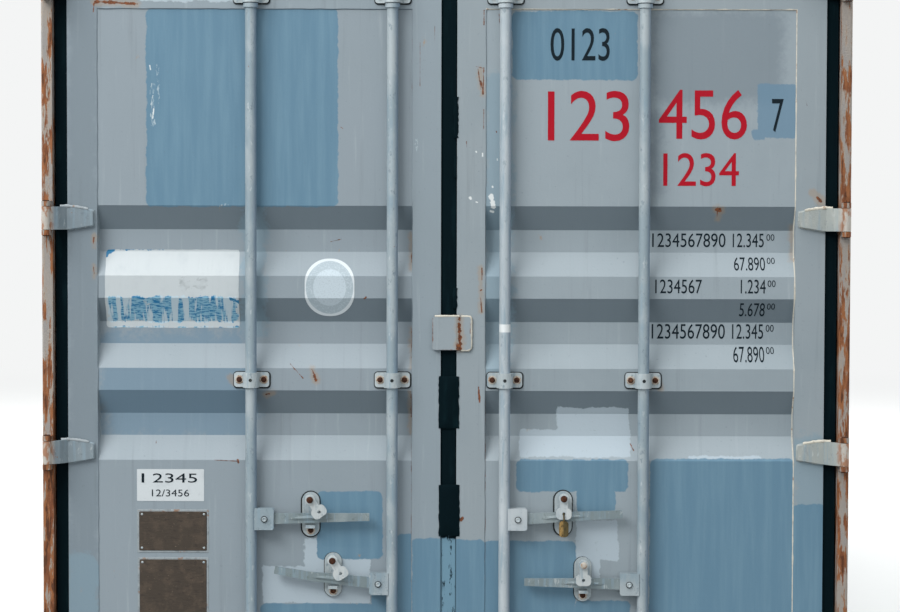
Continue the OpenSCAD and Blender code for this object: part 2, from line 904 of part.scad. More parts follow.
// The hub that carries the handle: two cheeks on the side of the bar
module handle_hub() {
    near = handle_t / 2 + hub_gap;
    start = sqrt(pow(bar_r - bar_t * 0.95, 2) - near * near);
    w = hub_out - start;
    for (side = [-1, 1])
        translate([start + w / 2, side * (near + hub_t / 2), 0]) plate_xz(-hub_t / 2, hub_t / 2) {
            rounded_2d(w, hub_h, hub_round);
            translate([-w / 2, -hub_h / 2]) square([w / 2, hub_h]);
        }
    translate([pivot_out, 0, 0]) plate_xz(-near - hub_t - 4, near + hub_t) circle(pivot_r);
}

// A bar at X = 0 with its cams, its hub and the pivot bolt, the handle's side towards +X
module lock_bar(z) {
    low = cam_low_z - cam_h / 2;
    high = cam_high_z + cam_h / 2;
    difference() {
        union() {
            translate([0, 0, low]) cylinder(r = bar_r, h = high - low);
            translate([0, 0, cam_low_z]) cam();
            translate([0, 0, cam_high_z]) cam();
            translate([0, 0, z]) handle_hub();
            translate([0, 0, guide_top_z - guide_h / 2 - 3 - collar_h]) cylinder(r = collar_r, h = collar_h);
        }
        translate([0, 0, low + bar_t]) cylinder(r = bar_r - bar_t, h = high - low - 2 * bar_t);
    }
}

module bar_of(bar) {
    color(galvanised) translate([bar[0], bar_y, 0]) mirror([bar[1] > 0 ? 0 : 1, 0, 0]) lock_bar(bar[2]);
}

module left_outer_bar() {
    bar_of(LEFT_OUTER);
}

module left_inner_bar() {
    bar_of(LEFT_INNER);
}

module right_inner_bar() {
    bar_of(RIGHT_INNER);
}

module right_outer_bar() {
    bar_of(RIGHT_OUTER);
}

// A guide bracket, whose foot lies at a depth behind the bar's centre
module guide(foot) {
    outer = bar_r + guide_play + guide_wall;
    intersection() {
        translate([0, 0, -guide_h / 2]) linear_extrude(guide_h) difference() {
            union() {
                circle(outer);
                translate([-outer, 0]) square([2 * outer, foot]);
                translate([-guide_w / 2, foot - guide_foot]) square([guide_w, guide_foot]);
            }
            circle(bar_r + guide_play);
        }
        plate_xz(-outer - 1, foot) rounded_2d(guide_w, guide_h, guide_round);
    }
}

module guides_of(bar) {
    on_rail = leaf_front - bar_depth;
    on_panel = panel_front - bar_depth;
    translate([bar[0], bar_y, 0]) {
        translate([0, 0, guide_top_z]) guide(on_rail);
        translate([0, 0, guide_mid_z]) guide(on_panel);
        translate([0, 0, guide_low_z]) guide(on_rail);
    }
}

module left_bar_guides() {
    color(galvanised) {
        guides_of(LEFT_OUTER);
        guides_of(LEFT_INNER);
    }
}

module right_bar_guides() {
    color(galvanised) {
        guides_of(RIGHT_INNER);
        guides_of(RIGHT_OUTER);
    }
}

// Handles, drawn with the pivot at the origin and pointing to +X

module at_pivot(bar) {
    translate([bar[0] + bar[1] * pivot_out, bar_y, bar[2]]) mirror([bar[1] > 0 ? 0 : 1, 0, 0]) children();
}

module handle_2d(bend) {
    kink = handle_l * 0.66;
    mid_h = handle_end_h + (handle_h - handle_end_h) * 0.34;
    circle(handle_h / 2);
    polygon([[0, -handle_h / 2], [kink, -mid_h / 2], [kink, mid_h / 2], [0, handle_h / 2]]);
    translate([kink, 0]) {
        circle(mid_h / 2);
        rotate(bend) polygon([[0, -mid_h / 2], [handle_l - kink, -handle_end_h / 2],
            [handle_l - kink, handle_end_h / 2], [0, mid_h / 2]]);
    }
}

// The rib is a long pointed lens
module rib_2d() {
    r = (rib_l * rib_l + rib_h * rib_h) / (4 * rib_h);
    intersection() {
        translate([0, r - rib_h / 2]) circle(r, $fn = 96);
        translate([0, rib_h / 2 - r]) circle(r, $fn = 96);
    }
}

// It rises to a crest along its middle and runs out at both ends
module rib() {
    foot = 1 - handle_t / 2;
    crest = -handle_t / 2 - rib_t;
    half = rib_l / 2;
    intersection() {
        plate_xz(crest, foot) rib_2d();
        along_x(-half, half) polygon([[foot, -rib_h / 2], [foot, rib_h / 2], [-handle_t / 2, rib_h / 2],
            [crest, 0], [-handle_t / 2, -rib_h / 2]]);
        translate([0, 0, -rib_h / 2]) linear_extrude(rib_h) polygon([[-half, foot], [-half, -handle_t / 2],
            [-half * 0.55, crest], [half * 0.55, crest], [half, -handle_t / 2], [half, foot]]);
    }
}

module handle(tilt, bend) {
    rotate([0, -tilt, 0]) difference() {
        union() {
            plate_xz(-handle_t / 2, handle_t / 2) handle_2d(bend);
            translate([catch_out, 0, 0]) rib();
        }
        plate_xz(-handle_t, handle_t) circle(pivot_r + bore_play);
    }
}

module left_outer_handle() {
    color(galvanised) at_pivot(LEFT_OUTER) handle(LEFT_OUTER[3], LEFT_OUTER[4]);
}

module left_inner_handle() {
    color(galvanised) at_pivot(LEFT_INNER) handle(LEFT_INNER[3], LEFT_INNER[4]);
}

module right_inner_handle() {
    color(galvanised) at_pivot(RIGHT_INNER) handle(RIGHT_INNER[3], RIGHT_INNER[4]);
}

module right_outer_handle() {
    color(galvanised) at_pivot(RIGHT_OUTER) handle(RIGHT_OUTER[3], RIGHT_OUTER[4]);
}

// Catches, drawn with the middle of the handle at the origin

module at_catch(bar) {
    at_pivot(bar) translate([catch_out * cos(bar[3]), -bar_depth, catch_out * sin(bar[3])]) children();
}

module catch() {
    middle = (latch_up - catch_bolt_down) / 2;
    under = handle_h / 2 + ledge_gap;
    back = panel_front - catch_t;
    plate_xz(back, panel_front) translate([0, middle]) rotate(90) slot_2d(catch_h, catch_w);
    box([-ledge_w / 2, bar_depth - handle_t / 2, -under - ledge_h], [ledge_w / 2, back, -under]);
    translate([0, 0, latch_up]) {
        plate_xz(latch_back + 1, back) circle(latch_pin_r + 4);
        plate_xz(latch_back - latch_t - 1, latch_back + 1) circle(latch_pin_r);
        plate_xz(latch_back - latch_t - 8, latch_back - latch_t - 1) circle(latch_head_r);
    }
}

module left_catches() {
    color(paint) {
        at_catch(LEFT_OUTER) catch();
        at_catch(LEFT_INNER) catch();
    }
}

module right_catches() {
    color(paint) {
        at_catch(RIGHT_INNER) catch();
        at_catch(RIGHT_OUTER) catch();
    }
}

// A latch, hanging from its pivot at the origin: a neck with a wide lobe at its end
module latch_2d() {
    difference() {
        union() {
            circle(latch_top_r);
            translate([-latch_neck / 2, -latch_l]) square([latch_neck, latch_l]);
            translate([0, -latch_l]) rounded_2d(latch_lobe_w, latch_lobe_h, latch_lobe_h * 0.38);
        }
        circle(latch_pin_r + bore_play);
        translate([0, -latch_l]) circle(seal_hole_r);
    }
}

// The latch swings to the right, so a handle that points to the left turns the drawing over
module latch_of(bar) {
    color(paint) at_catch(bar) translate([0, 0, latch_up]) rotate([0, -bar[1] * bar[5], 0])
        plate_xz(latch_back - latch_t, latch_back) latch_2d();
}

module left_outer_latch() {
    latch_of(LEFT_OUTER);
}

module left_inner_latch() {
    latch_of(LEFT_INNER);
}

module right_inner_latch() {
    latch_of(RIGHT_INNER);
}

module right_outer_latch() {
    latch_of(RIGHT_OUTER);
}

// The padlock hangs in the hole of the right inner latch
module padlock() {
    inner = latch_t / 2 + shackle_play;
    half = inner + shackle_r;
    seat = 0.3;
    low = seat - seal_hole_r - sqrt(inner * inner - latch_t * latch_t / 4);
    color(brass) at_catch(RIGHT_INNER) translate([0, latch_back - latch_t / 2, latch_up - latch_l + low]) {
        rotate([90, 0, 90]) rotate_extrude(angle = 180) translate([half, 0]) circle(shackle_r);
        for (side = [-1, 1])
            translate([0, side * half, -shackle_l]) cylinder(r = shackle_r, h = shackle_l);
        translate([0, 0, -shackle_l - lock_h / 2]) plate_xz(-lock_t / 2, lock_t / 2)
            rounded_2d(lock_w, lock_h, lock_round);
    }
}

bottom_corner_castings();
top_corner_castings();
rear_posts();
front_posts();
bottom_side_rails();
top_side_rails();
left_side_wall();
right_side_wall();
front_wall();
front_sill();
front_header();
roof();
floor();
crossmembers();
fork_pockets();
door_header();
door_sill();
cam_keepers();
hinge_lugs();
hinge_pins();
left_leaf_frame();
left_leaf_panel();
left_gasket();
left_hinge_blades();
left_bar_guides();
left_catches();
right_leaf_frame();
right_leaf_panel();
right_gasket();
right_hinge_blades();
right_bar_guides();
right_catches();
overlap_plate();
left_outer_bar();
left_inner_bar();
right_inner_bar();
right_outer_bar();
left_outer_handle();
left_inner_handle();
right_inner_handle();
right_outer_handle();
left_outer_latch();
left_inner_latch();
right_inner_latch();
right_outer_latch();
padlock();
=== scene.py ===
"""Looks of a steel shipping container, 20 ft long, that is seen from its door end.

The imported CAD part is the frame. This script gives every part of it the finish of the real one, and adds what is
too small for the CAD part: bolt heads, welds, label films, data plates, painted numbers and torn gasket edges.
The doors face -Y, +X is to the right of someone who faces them, and the castings stand on Z = 0.
Places on the doors are in millimetres across (X) and up (Z); everything is turned to metres where it is made.
"""

import math
import random

import bmesh
import bpy
from mathutils import Matrix, Vector


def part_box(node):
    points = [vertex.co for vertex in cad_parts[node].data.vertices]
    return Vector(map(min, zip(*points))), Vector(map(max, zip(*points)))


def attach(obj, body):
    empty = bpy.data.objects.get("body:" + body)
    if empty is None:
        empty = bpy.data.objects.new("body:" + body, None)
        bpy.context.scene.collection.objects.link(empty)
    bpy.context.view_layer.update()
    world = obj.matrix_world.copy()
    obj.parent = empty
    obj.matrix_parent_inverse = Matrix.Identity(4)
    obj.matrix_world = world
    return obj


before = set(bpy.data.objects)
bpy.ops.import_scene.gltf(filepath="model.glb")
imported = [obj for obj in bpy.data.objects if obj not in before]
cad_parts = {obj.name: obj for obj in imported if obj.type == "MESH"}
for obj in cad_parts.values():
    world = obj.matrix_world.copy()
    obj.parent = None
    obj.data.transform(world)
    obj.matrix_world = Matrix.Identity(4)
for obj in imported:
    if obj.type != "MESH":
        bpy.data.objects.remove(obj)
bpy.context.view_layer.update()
MM = 0.001

# -------- camera

EYE = (0.0232, -10.102, 1.6845)
LOOKS_DOWN = 0.04
LOOKS_LEFT = 0.0016
LEANS = 0.0024

lens = bpy.data.cameras.new("camera")
lens.sensor_width = 36
lens.lens = 94.815
lens.clip_end = 200
camera = bpy.data.objects.new("camera", lens)
camera.matrix_world = (
    Matrix.Translation(EYE)
    @ Matrix.Rotation(LOOKS_LEFT, 4, "Z")
    @ Matrix.Rotation(math.pi / 2 - LOOKS_DOWN, 4, "X")
    @ Matrix.Rotation(LEANS, 4, "Z")
)
bpy.context.scene.collection.objects.link(camera)
bpy.context.scene.camera = camera

# -------- sizes taken from the CAD part, in mm

LEAF_FACE = -2954.0
PANEL_FACE = -2951.0
TROUGHS = (1036.0, 1315.0, 1594.0)
TROUGH_DEEP, TROUGH_FLAT, TROUGH_EDGE = 36.0, 33.5, 106.0
PANEL_LOW, PANEL_HIGH = 325.0, 2292.0
LEFT_PANEL = (-1053.0, -101.0)
RIGHT_PANEL = (117.0, 1053.0)
HINGE_HEIGHTS = (253.0, 957.0, 1661.0, 2365.0)
GUIDE_HEIGHTS = ((2330.0, LEAF_FACE), (1175.0, PANEL_FACE), (292.0, LEAF_FACE))

# Each lock bar: its x, which way its handle points, the handle's pivot height, and the middle of its catch
LOCKS = {
    "left_outer": (-587.0, 1, 756.0, (-408.0, 758.4)),
    "left_inner": (-162.0, -1, 560.0, (-340.2, 574.4)),
    "right_inner": (177.0, 1, 756.0, (355.8, 763.2)),
    "right_outer": (595.0, -1, 560.0, (416.0, 562.4)),
}


def panel_depth(z):
    """How far the pressed panel lies behind its front face at the height z."""
    off = min(abs(z - middle) for middle in TROUGHS)
    return TROUGH_DEEP * min(1.0, max(0.0, (TROUGH_EDGE - off) / (TROUGH_EDGE - TROUGH_FLAT)))


# -------- tools for materials


def linear(code):
    """The linear colour of an sRGB hex value."""
    parts = [int(code[i : i + 2], 16) / 255 for i in (1, 3, 5)]
    return [p / 12.92 if p <= 0.04045 else ((p + 0.055) / 1.055) ** 2.4 for p in parts] + [1.0]


def add(tree, kind, sockets=None, out=0, **settings):
    """Adds one node: its settings, then for each socket its value, hex colour or output. Gives its output."""
    node = tree.nodes.new("ShaderNode" + kind)
    for name, value in settings.items():
        setattr(node, name, value)
    for socket, source in (sockets or {}).items():
        if isinstance(source, bpy.types.NodeSocket):
            tree.links.new(source, node.inputs[socket])
        else:
            node.inputs[socket].default_value = linear(source) if isinstance(source, str) else source
    return node.outputs[out] if len(node.outputs) else None


def new_finish(name):
    """An empty material: its node tree, the place on the object in metres, and the way that the surface faces."""
    material = bpy.data.materials.new(name)
    material.use_nodes = True
    tree = material.node_tree
    tree.nodes.clear()
    place = add(tree, "TexCoord", out="Object")
    return material, tree, place, place.node.outputs["Normal"]


def stains(tree, place, size_mm, low=0.0, high=1.0, strength=1.0, stretch=(1, 1, 1), detail=4, rough=0.6):
    """Clouds of dirt or chalk, size_mm wide and drawn out by stretch: none below low, full strength above high."""
    scaled = add(tree, "VectorMath", {0: place, 1: [1000 / size_mm / s for s in stretch]}, operation="MULTIPLY")
    cloud = add(tree, "TexNoise", {"Vector": scaled, "Scale": 1.0, "Detail": detail, "Roughness": rough})
    return add(
        tree,
        "MapRange",
        {"Value": cloud, "From Min": low, "From Max": high, "To Max": strength},
        interpolation_type="SMOOTHSTEP",
    )


def torn_line(tree, place, wide_mm, fine_mm, stretch=(1, 1, 1)):
    """A ragged course about zero, as the edge of a brushed or chipped coat takes; it swings by about one."""
    wide = stains(tree, place, wide_mm, 0.2, 0.8, 3.0, stretch)
    fine = stains(tree, place, fine_mm, 0.2, 0.8, 1.4)
    both = add(tree, "Math", {0: wide, 1: fine}, operation="ADD")
    return add(tree, "Math", {0: both, 1: -2.2}, operation="ADD")


def coated_area(tree, flat, area, ragged, ragged_mm=5, corner_mm=22, edge_mm=2.0):
    """1 inside a box with round corners on the doors (x0, x1, z0, z1 in mm), its edge moved by the ragged course."""
    x0, x1, z0, z1 = [v * MM for v in area]
    corner = corner_mm * MM
    middle = ((x0 + x1) / 2, 0, (z0 + z1) / 2)
    straight = ((x1 - x0) / 2 - corner, 0, (z1 - z0) / 2 - corner)
    off = add(tree, "VectorMath", {0: flat, 1: middle}, operation="SUBTRACT")
    span = add(tree, "VectorMath", {0: off}, operation="ABSOLUTE")
    past = add(tree, "VectorMath", {0: span, 1: straight}, operation="SUBTRACT")
    past = add(tree, "VectorMath", {0: past, 1: (0, 0, 0)}, operation="MAXIMUM")
    reach = add(tree, "VectorMath", {0: past}, out="Value", operation="LENGTH")
    moved = add(tree, "Math", {0: ragged, 1: ragged_mm * MM, 2: reach}, operation="MULTIPLY_ADD")
    return add(
        tree,
        "MapRange",
        {"Value": moved, "From Min": corner + edge_mm * MM, "From Max": corner - edge_mm * MM},
        interpolation_type="SMOOTHSTEP",
    )


def scraped(tree, flat, line, ragged, ragged_mm=2.5, soft_mm=1.2):
    """1 along a scrape from (x0, z0) to (x1, z1) that is wide mm across; soft_mm is how far its edge fades."""
    x0, z0, x1, z1, wide = [v * MM for v in line]
    way = Vector((x1 - x0, 0, z1 - z0))
    if way.length < MM:
        way = Vector((MM, 0, 0))
    off = add(tree, "VectorMath", {0: flat, 1: (x0, 0, z0)}, operation="SUBTRACT")
    share = add(tree, "VectorMath", {0: off, 1: way / way.length_squared}, out="Value", operation="DOT_PRODUCT")
    share = add(tree, "Math", {0: share, 1: 0.0}, operation="ADD", use_clamp=True)
    rest = add(tree, "VectorMath", {0: share, 1: -way, 2: off}, operation="MULTIPLY_ADD")
    reach = add(tree, "VectorMath", {0: rest}, out="Value", operation="LENGTH")
    moved = add(tree, "Math", {0: ragged, 1: ragged_mm * MM, 2: reach}, operation="MULTIPLY_ADD")
    return add(
        tree,
        "MapRange",
        {"Value": moved, "From Min": wide / 2 + soft_mm * MM, "From Max": wide / 2 - soft_mm * MM},
        interpolation_type="SMOOTHSTEP",
    )


def all_of(tree, masks, limit=None):
    """One mask where any of the masks is set, kept within a limit."""
    whole = masks[0]
    for mask in masks[1:]:
        whole = add(tree, "Math", {0: whole, 1: mask}, operation="MAXIMUM")
    if limit is not None:
        whole = add(tree, "Math", {0: whole, 1: limit}, operation="MULTIPLY")
    return whole


def lay_coats(tree, coats):
    """Lays each coat, a mask and a colour, over the ones before it, and gives the colour that is seen."""
    colour = coats[0]
    for mask, over in coats[1:]:
        colour = add(tree, "Mix", {0: mask, 6: colour, 7: over}, out=2, data_type="RGBA")
    return colour


def shade(tree, colour, roughness, metallic, height, height_mm, gloss=0.4):
    """The shader: the colour that is seen, how rough it is, how much of it is bare metal, and its small relief."""
    bump = add(tree, "Bump", {"Strength": 1.0, "Distance": height_mm * MM, "Height": height})
    shader = add(
        tree,
        "BsdfPrincipled",
        {"Base Color": colour, "Roughness": roughness, "Metallic": metallic, "Normal": bump,
         "Specular IOR Level": gloss},
    )
    add(tree, "OutputMaterial", {"Surface": shader})


# -------- finishes

PALE_ENAMEL = "#98a3a9"
OLD_ENAMEL = "#8a969c"
CHALK = "#b3bcc0"
GRIME = "#646c6e"
BLUE_REPAIR = "#5f8297"
BLUE_ROLLED = "#6b8da0"
BLUE_THIN = "#8099a6"
# Partly a mist of blue spray and partly painted shade: a darker blue on the faces that don't face up.
BLUE_MIST_AND_SHADE = "#6a899e"
BLUE_FAINT = "#69889d"
# Painted shade: a darker grey for the parts of the leaves that lie in shade.
PAINTED_SHADE = "#717d85"
GREY_REPAIR = "#b0bdc5"
RUST = "#87502f"
RUST_STAIN = "#a68a68"
RUST_DARK = "#4a2c20"

# The two leaves. For each: the ground, areas of painted shade (a darker grey where the leaf lies in shade), a blue
# mist that is partly painted shade, thin blue washes, pale grey and blue repairs, scrapes that rusted, soft stains
# beside them, splashes of white, and scuffs that show the undercoat.
# Boxes are x0, x1, z0, z1 and scrapes are x0, z0, x1, z1, width, all in mm.
LEFT_FRAME_COAT = {
    "ground": "#8e9aa1",
    "painted_shade": [(-1150, -1040, 60, 2440)],
    "blue": [(-101, 60, 100, 694)],
    "thin": [(-1150, -1053, 100, 640)],
    "grey": [(-925, -600, 2312, 2400)],
    "rust": [
        (-1057, 2310, -930, 2304, 7), (-1060, 2306, -1062, 2280, 3), (-1063, 1601, -1064, 1583, 2),
        (-1064, 1513, -1062, 1493, 2), (-80, 2190, -80, 2060, 0.2), (-36, 2240, -36, 2180, 0.2),
    ],
    "stain": [(-1062, 1606, -1063, 1575, 10), (-1063, 1518, -1062, 1480, 10)],
    "splash": [],
    "scuff": [(-90, 1900, -90, 1850, 3)],
}
LEFT_PANEL_COAT = {
    "ground": "#8f9aa1",
    "mist_and_shade": [(-1048, -580, 985, 1322)],
    "blue": [
        (-904, -327, 1696, 2292), (-390, -190, 630, 836), (-560, -95, 100, 494), (-224, -95, 470, 560),
        (-150, -80, 100, 706),
    ],
    "thin": [(-620, -545, 1300, 2292)],
    "grey": [(-429, -229, 494, 666), (-556, -420, 494, 608), (-429, -380, 600, 693)],
    "rust": [
        (-471, 1222, -432, 1179, 2), (-405, 1205, -392, 1172, 6), (-545, 1129, -535, 1131, 4),
        (-350, 1591, -318, 1599, 1.5), (-246, 1420, -242, 1424, 3), (-880, 986, -880, 978, 3),
        (-699, 930, -628, 926, 1), (-629, 930, -628, 922, 4), (-103, 2292, -103, 2020, 0.6),
        (-103, 1556, -103, 1531, 3), (-104, 1327, -104, 1240, 1), (-105, 1129, -105, 1060, 2.5),
        (-104, 990, -104, 560, 0.3), (-318, 1936, -312, 1932, 3),
    ],
    "stain": [
        (-545, 1128, -520, 1134, 18), (-107, 1612, -107, 1507, 13), (-106, 1327, -106, 1210, 10),
        (-108, 1135, -107, 1010, 14), (-650, 1180, -640, 1168, 22),
    ],
    "splash": [(-885, 1962, -881, 1990, 3), (-890, 2003, -884, 2030, 2), (-893, 2120, -891, 2108, 2)],
    "scuff": [(-884, 1946, -886, 2060, 14), (-866, 1990, -870, 2120, 6), (-700, 1702, -640, 1702, 3)],
}
RIGHT_FRAME_COAT = {
    "ground": "#949ea3",
    "blue": [(20, 121, 100, 692), (1050, 1150, 100, 800)],
    "thin": [(1050, 1150, 780, 1010)],
    "rust": [
        (112, 2287, 112, 2244, 3), (89, 2119, 110, 2114, 1.5), (94, 2114, 103, 2050, 1.5), (112, 2116, 110, 2046, 2),
        (103, 2076, 110, 2036, 3.5), (112, 1990, 112, 1932, 2), (60, 1894, 61, 1876, 1.5), (108, 1513, 108, 1476, 2),
        (104, 1446, 107, 1448, 4), (104, 1423, 108, 1380, 2), (99, 1153, 102, 1108, 2.5), (46, 750, 52, 756, 5),
        (1118, 1728, 1128, 1716, 5), (40, 1362, 41, 1270, 12), (73, 1345, 73, 1316, 1), (-40, 1362, -40, 1268, 0.8),
        (-40, 1268, 20, 1267, 0.6), (1080, 2020, 1084, 2004, 0.6),
    ],
    "stain": [
        (1106, 1742, 1132, 1712, 22), (38, 1362, 39, 1270, 20), (100, 2110, 108, 2036, 16),
        (104, 1513, 106, 1380, 12),
    ],
    "splash": [(89, 1864, 90, 1862, 3), (109, 1858, 109, 1850, 3), (72, 1725, 73, 1722, 5), (90, 1712, 94, 1711, 4)],
    "scuff": [(96, 1940, 97, 1930, 3)],
}
RIGHT_PANEL_COAT = {
    "ground": "#97a2a8",
    "painted_shade": [(620, 1010, 2010, 2290), (612, 650, 1720, 2000)],
    "faint": [(936, 1053, 1906, 2069), (921, 960, 1901, 1932)],
    "blue": [
        (196, 575, 2080, 2286), (618, 1060, 100, 937), (213, 552, 836, 934), (395, 514, 772, 850),
        (112, 394, 100, 686), (392, 560, 100, 505),
    ],
    "thin": [(112, 200, 1150, 2100)],
    "grey": [
        (224, 560, 941, 1024), (336, 557, 1015, 1090), (395, 523, 629, 752), (387, 470, 566, 640),
        (735, 955, 934, 945),
    ],
    "rust": [
        (157, 2278, 159, 2246, 3), (812, 1694, 826, 1688, 10), (818, 1700, 818, 1672, 3), (150, 1925, 151, 1922, 2),
        (120, 1240, 120, 620, 0.2), (560, 980, 570, 960, 3),
    ],
    "stain": [(820, 1690, 822, 1664, 16), (1045, 1640, 1046, 1540, 14), (640, 1176, 650, 1150, 18)],
    "splash": [
        (136, 1728, 142, 1700, 11), (134, 1684, 142, 1682, 5), (139, 1760, 140, 1758, 3), (153, 1842, 153, 1838, 3),
    ],
    "scuff": [(160, 1310, 178, 1302, 8)],
}


def door_enamel(name, coat):
    """Alkyd enamel, sprayed on the pressed doors, then patched by brush and roller over the years.

    It gives the eye a dull grey-blue with hardly any gloss, soft rain streaks, patches of a darker blue with a
    ragged edge and faint roller lanes, and brown lines of rust wherever something broke the film.
    """
    material, tree, place, facing = new_finish(name)
    flat = add(tree, "VectorMath", {0: place, 1: (1, 0, 1)}, operation="MULTIPLY")
    lanes = stains(tree, flat, 26, 0.35, 0.75, stretch=(1, 1, 14))
    fine = stains(tree, place, 7, 0.3, 0.7)
    ragged = torn_line(tree, flat, 55, 11)
    facing = add(tree, "SeparateXYZ", {0: facing}).node
    front = add(tree, "MapRange", {"Value": facing.outputs["Y"], "From Min": -0.3, "From Max": -0.6})
    # Painted light: faces that face up get a painted highlight, and faces that face down a painted shade.
    sky_lit_top = add(tree, "MapRange", {"Value": facing.outputs["Z"], "From Min": 0.2, "From Max": 0.44, "To Max": 0.25})
    shaded_underside = add(tree, "MapRange", {"Value": facing.outputs["Z"], "From Min": -0.2, "From Max": -0.44, "To Max": 0.9})
    blue = lay_coats(tree, [BLUE_REPAIR, (lanes, BLUE_ROLLED)])
    coats = [
        coat["ground"],
        (stains(tree, flat, 460, 0.42, 0.72, 0.65), OLD_ENAMEL),
        (stains(tree, flat, 30, 0.56, 0.8, 0.35, (1, 1, 22)), GRIME),
        (stains(tree, flat, 19, 0.56, 0.84, 0.4, (1, 1, 16)), CHALK),
        # Painted highlight on the faces that face up, painted shade on those that face down.
        (sky_lit_top, "#a9b3b8"),
        (shaded_underside, "#707d85"),
    ]
    # The outer faces that don't face up; the mist laid on them is partly painted shade.
    shaded = add(tree, "MapRange", {"Value": facing.outputs["Z"], "From Min": 0.35, "From Max": 0.15})
    shaded = add(tree, "Math", {0: shaded, 1: front}, operation="MULTIPLY")
    # The first kind of area below is painted shade, a darker grey where the leaf lies in shade; the mist is painted
    # shade in part.
    for key, colour, strength, ragged_mm, corner_mm, edge_mm in (
        ("painted_shade", PAINTED_SHADE, 0.6, 10, 40, 25),
        ("mist_and_shade", BLUE_MIST_AND_SHADE, 0.6, 20, 60, 30),
        ("thin", BLUE_THIN, 0.6, 14, 30, 12),
        ("faint", BLUE_FAINT, 0.85, 3, 8, 2),
        ("grey", GREY_REPAIR, 0.96, 4, 7, 2),
        ("blue", blue, 0.96, 2.6, 18, 2),
    ):
        if coat.get(key):
            masks = [coated_area(tree, flat, area, ragged, ragged_mm, corner_mm, edge_mm) for area in coat[key]]
            limit = add(tree, "Math", {0: shaded if key == "mist_and_shade" else front, 1: strength}, operation="MULTIPLY")
            coats.append((all_of(tree, masks, limit), colour))
    scratch = stains(tree, flat, 5, 0.5, 0.6, 0.7, (1, 1, 4), 5)
    scratch = add(tree, "Math", {0: scratch, 1: front}, operation="MULTIPLY")
    worn = all_of(tree, [scraped(tree, flat, line, ragged, 4) for line in coat["scuff"]], scratch)
    rusted = all_of(tree, [scraped(tree, flat, line, ragged, 0.8 + 0.4 * line[4]) for line in coat["rust"]], front)
    splashes = [scraped(tree, flat, line, ragged, 0.5 + 0.3 * line[4]) for line in coat["splash"]]
    wet = [line[:4] + (line[4] + 16,) for line in coat["rust"] if line[4] > 5] + coat["stain"]
    halo = all_of(tree, [scraped(tree, flat, line, ragged, 5, 7) for line in wet], 0.4)
    coats += [
        (stains(tree, place, 9, 0.62, 0.8, 0.35), GRIME),
        (stains(tree, place, 60, 0.72, 0.78, 0.6, (1, 1, 1.5)), RUST_STAIN),
        (worn, "#b9c7cd"),
        (halo, RUST_STAIN),
        (rusted, lay_coats(tree, [RUST, (fine, RUST_DARK)])),
    ]
    if splashes:
        coats.append((all_of(tree, splashes), "#dfe3e2"))
    roughness = add(tree, "MapRange", {"Value": lanes, "To Min": 0.5, "To Max": 0.66})
    height = add(tree, "Math", {0: lanes, 1: 0.4, 2: fine}, operation="MULTIPLY_ADD")
    shade(tree, lay_coats(tree, coats), roughness, 0.0, height, 0.1, 0.25)
    return material


def body_enamel(name, ground, wear, rust):
    """Alkyd enamel, sprayed on corrugated sheet and rolled sections and never patched.

    It gives the eye the same dull grey-blue as the doors, with long rain streaks, grime that gathers in clouds, and
    blisters of rust. wear sets how strong streaks and grime are, and rust how much of the steel has come through.
    """
    material, tree, place, _ = new_finish(name)
    blister = stains(tree, place, 42, detail=6, rough=0.68)
    fine = stains(tree, place, 7, 0.3, 0.7)
    coats = [
        ground,
        (stains(tree, place, 480, 0.42, 0.72, 0.7), OLD_ENAMEL),
        (stains(tree, place, 30, 0.52, 0.78, 0.55 * wear, (1, 1, 24)), GRIME),
        (stains(tree, place, 19, 0.56, 0.82, 0.5 * wear, (1, 1, 18)), CHALK),
        (stains(tree, place, 9, 0.6, 0.8, 0.4 * wear), GRIME),
        (stains(tree, place, 70, 0.68 - 0.08 * rust, 0.8 - 0.08 * rust, 0.7, (1, 1, 5)), RUST_STAIN),
        (stains(tree, place, 42, 0.70 - 0.07 * rust, 0.73 - 0.07 * rust, 1.0, (1, 1, 1.6), 6, 0.68), RUST),
        (stains(tree, place, 42, 0.74 - 0.07 * rust, 0.78 - 0.07 * rust, 1.0, (1, 1, 1.6), 6, 0.68), RUST_DARK),
    ]
    roughness = add(tree, "MapRange", {"Value": blister, "To Min": 0.48, "To Max": 0.72})
    height = add(tree, "Math", {0: fine, 1: blister}, operation="ADD")
    shade(tree, lay_coats(tree, coats), roughness, 0.0, height, 0.3, 0.25)
    return material


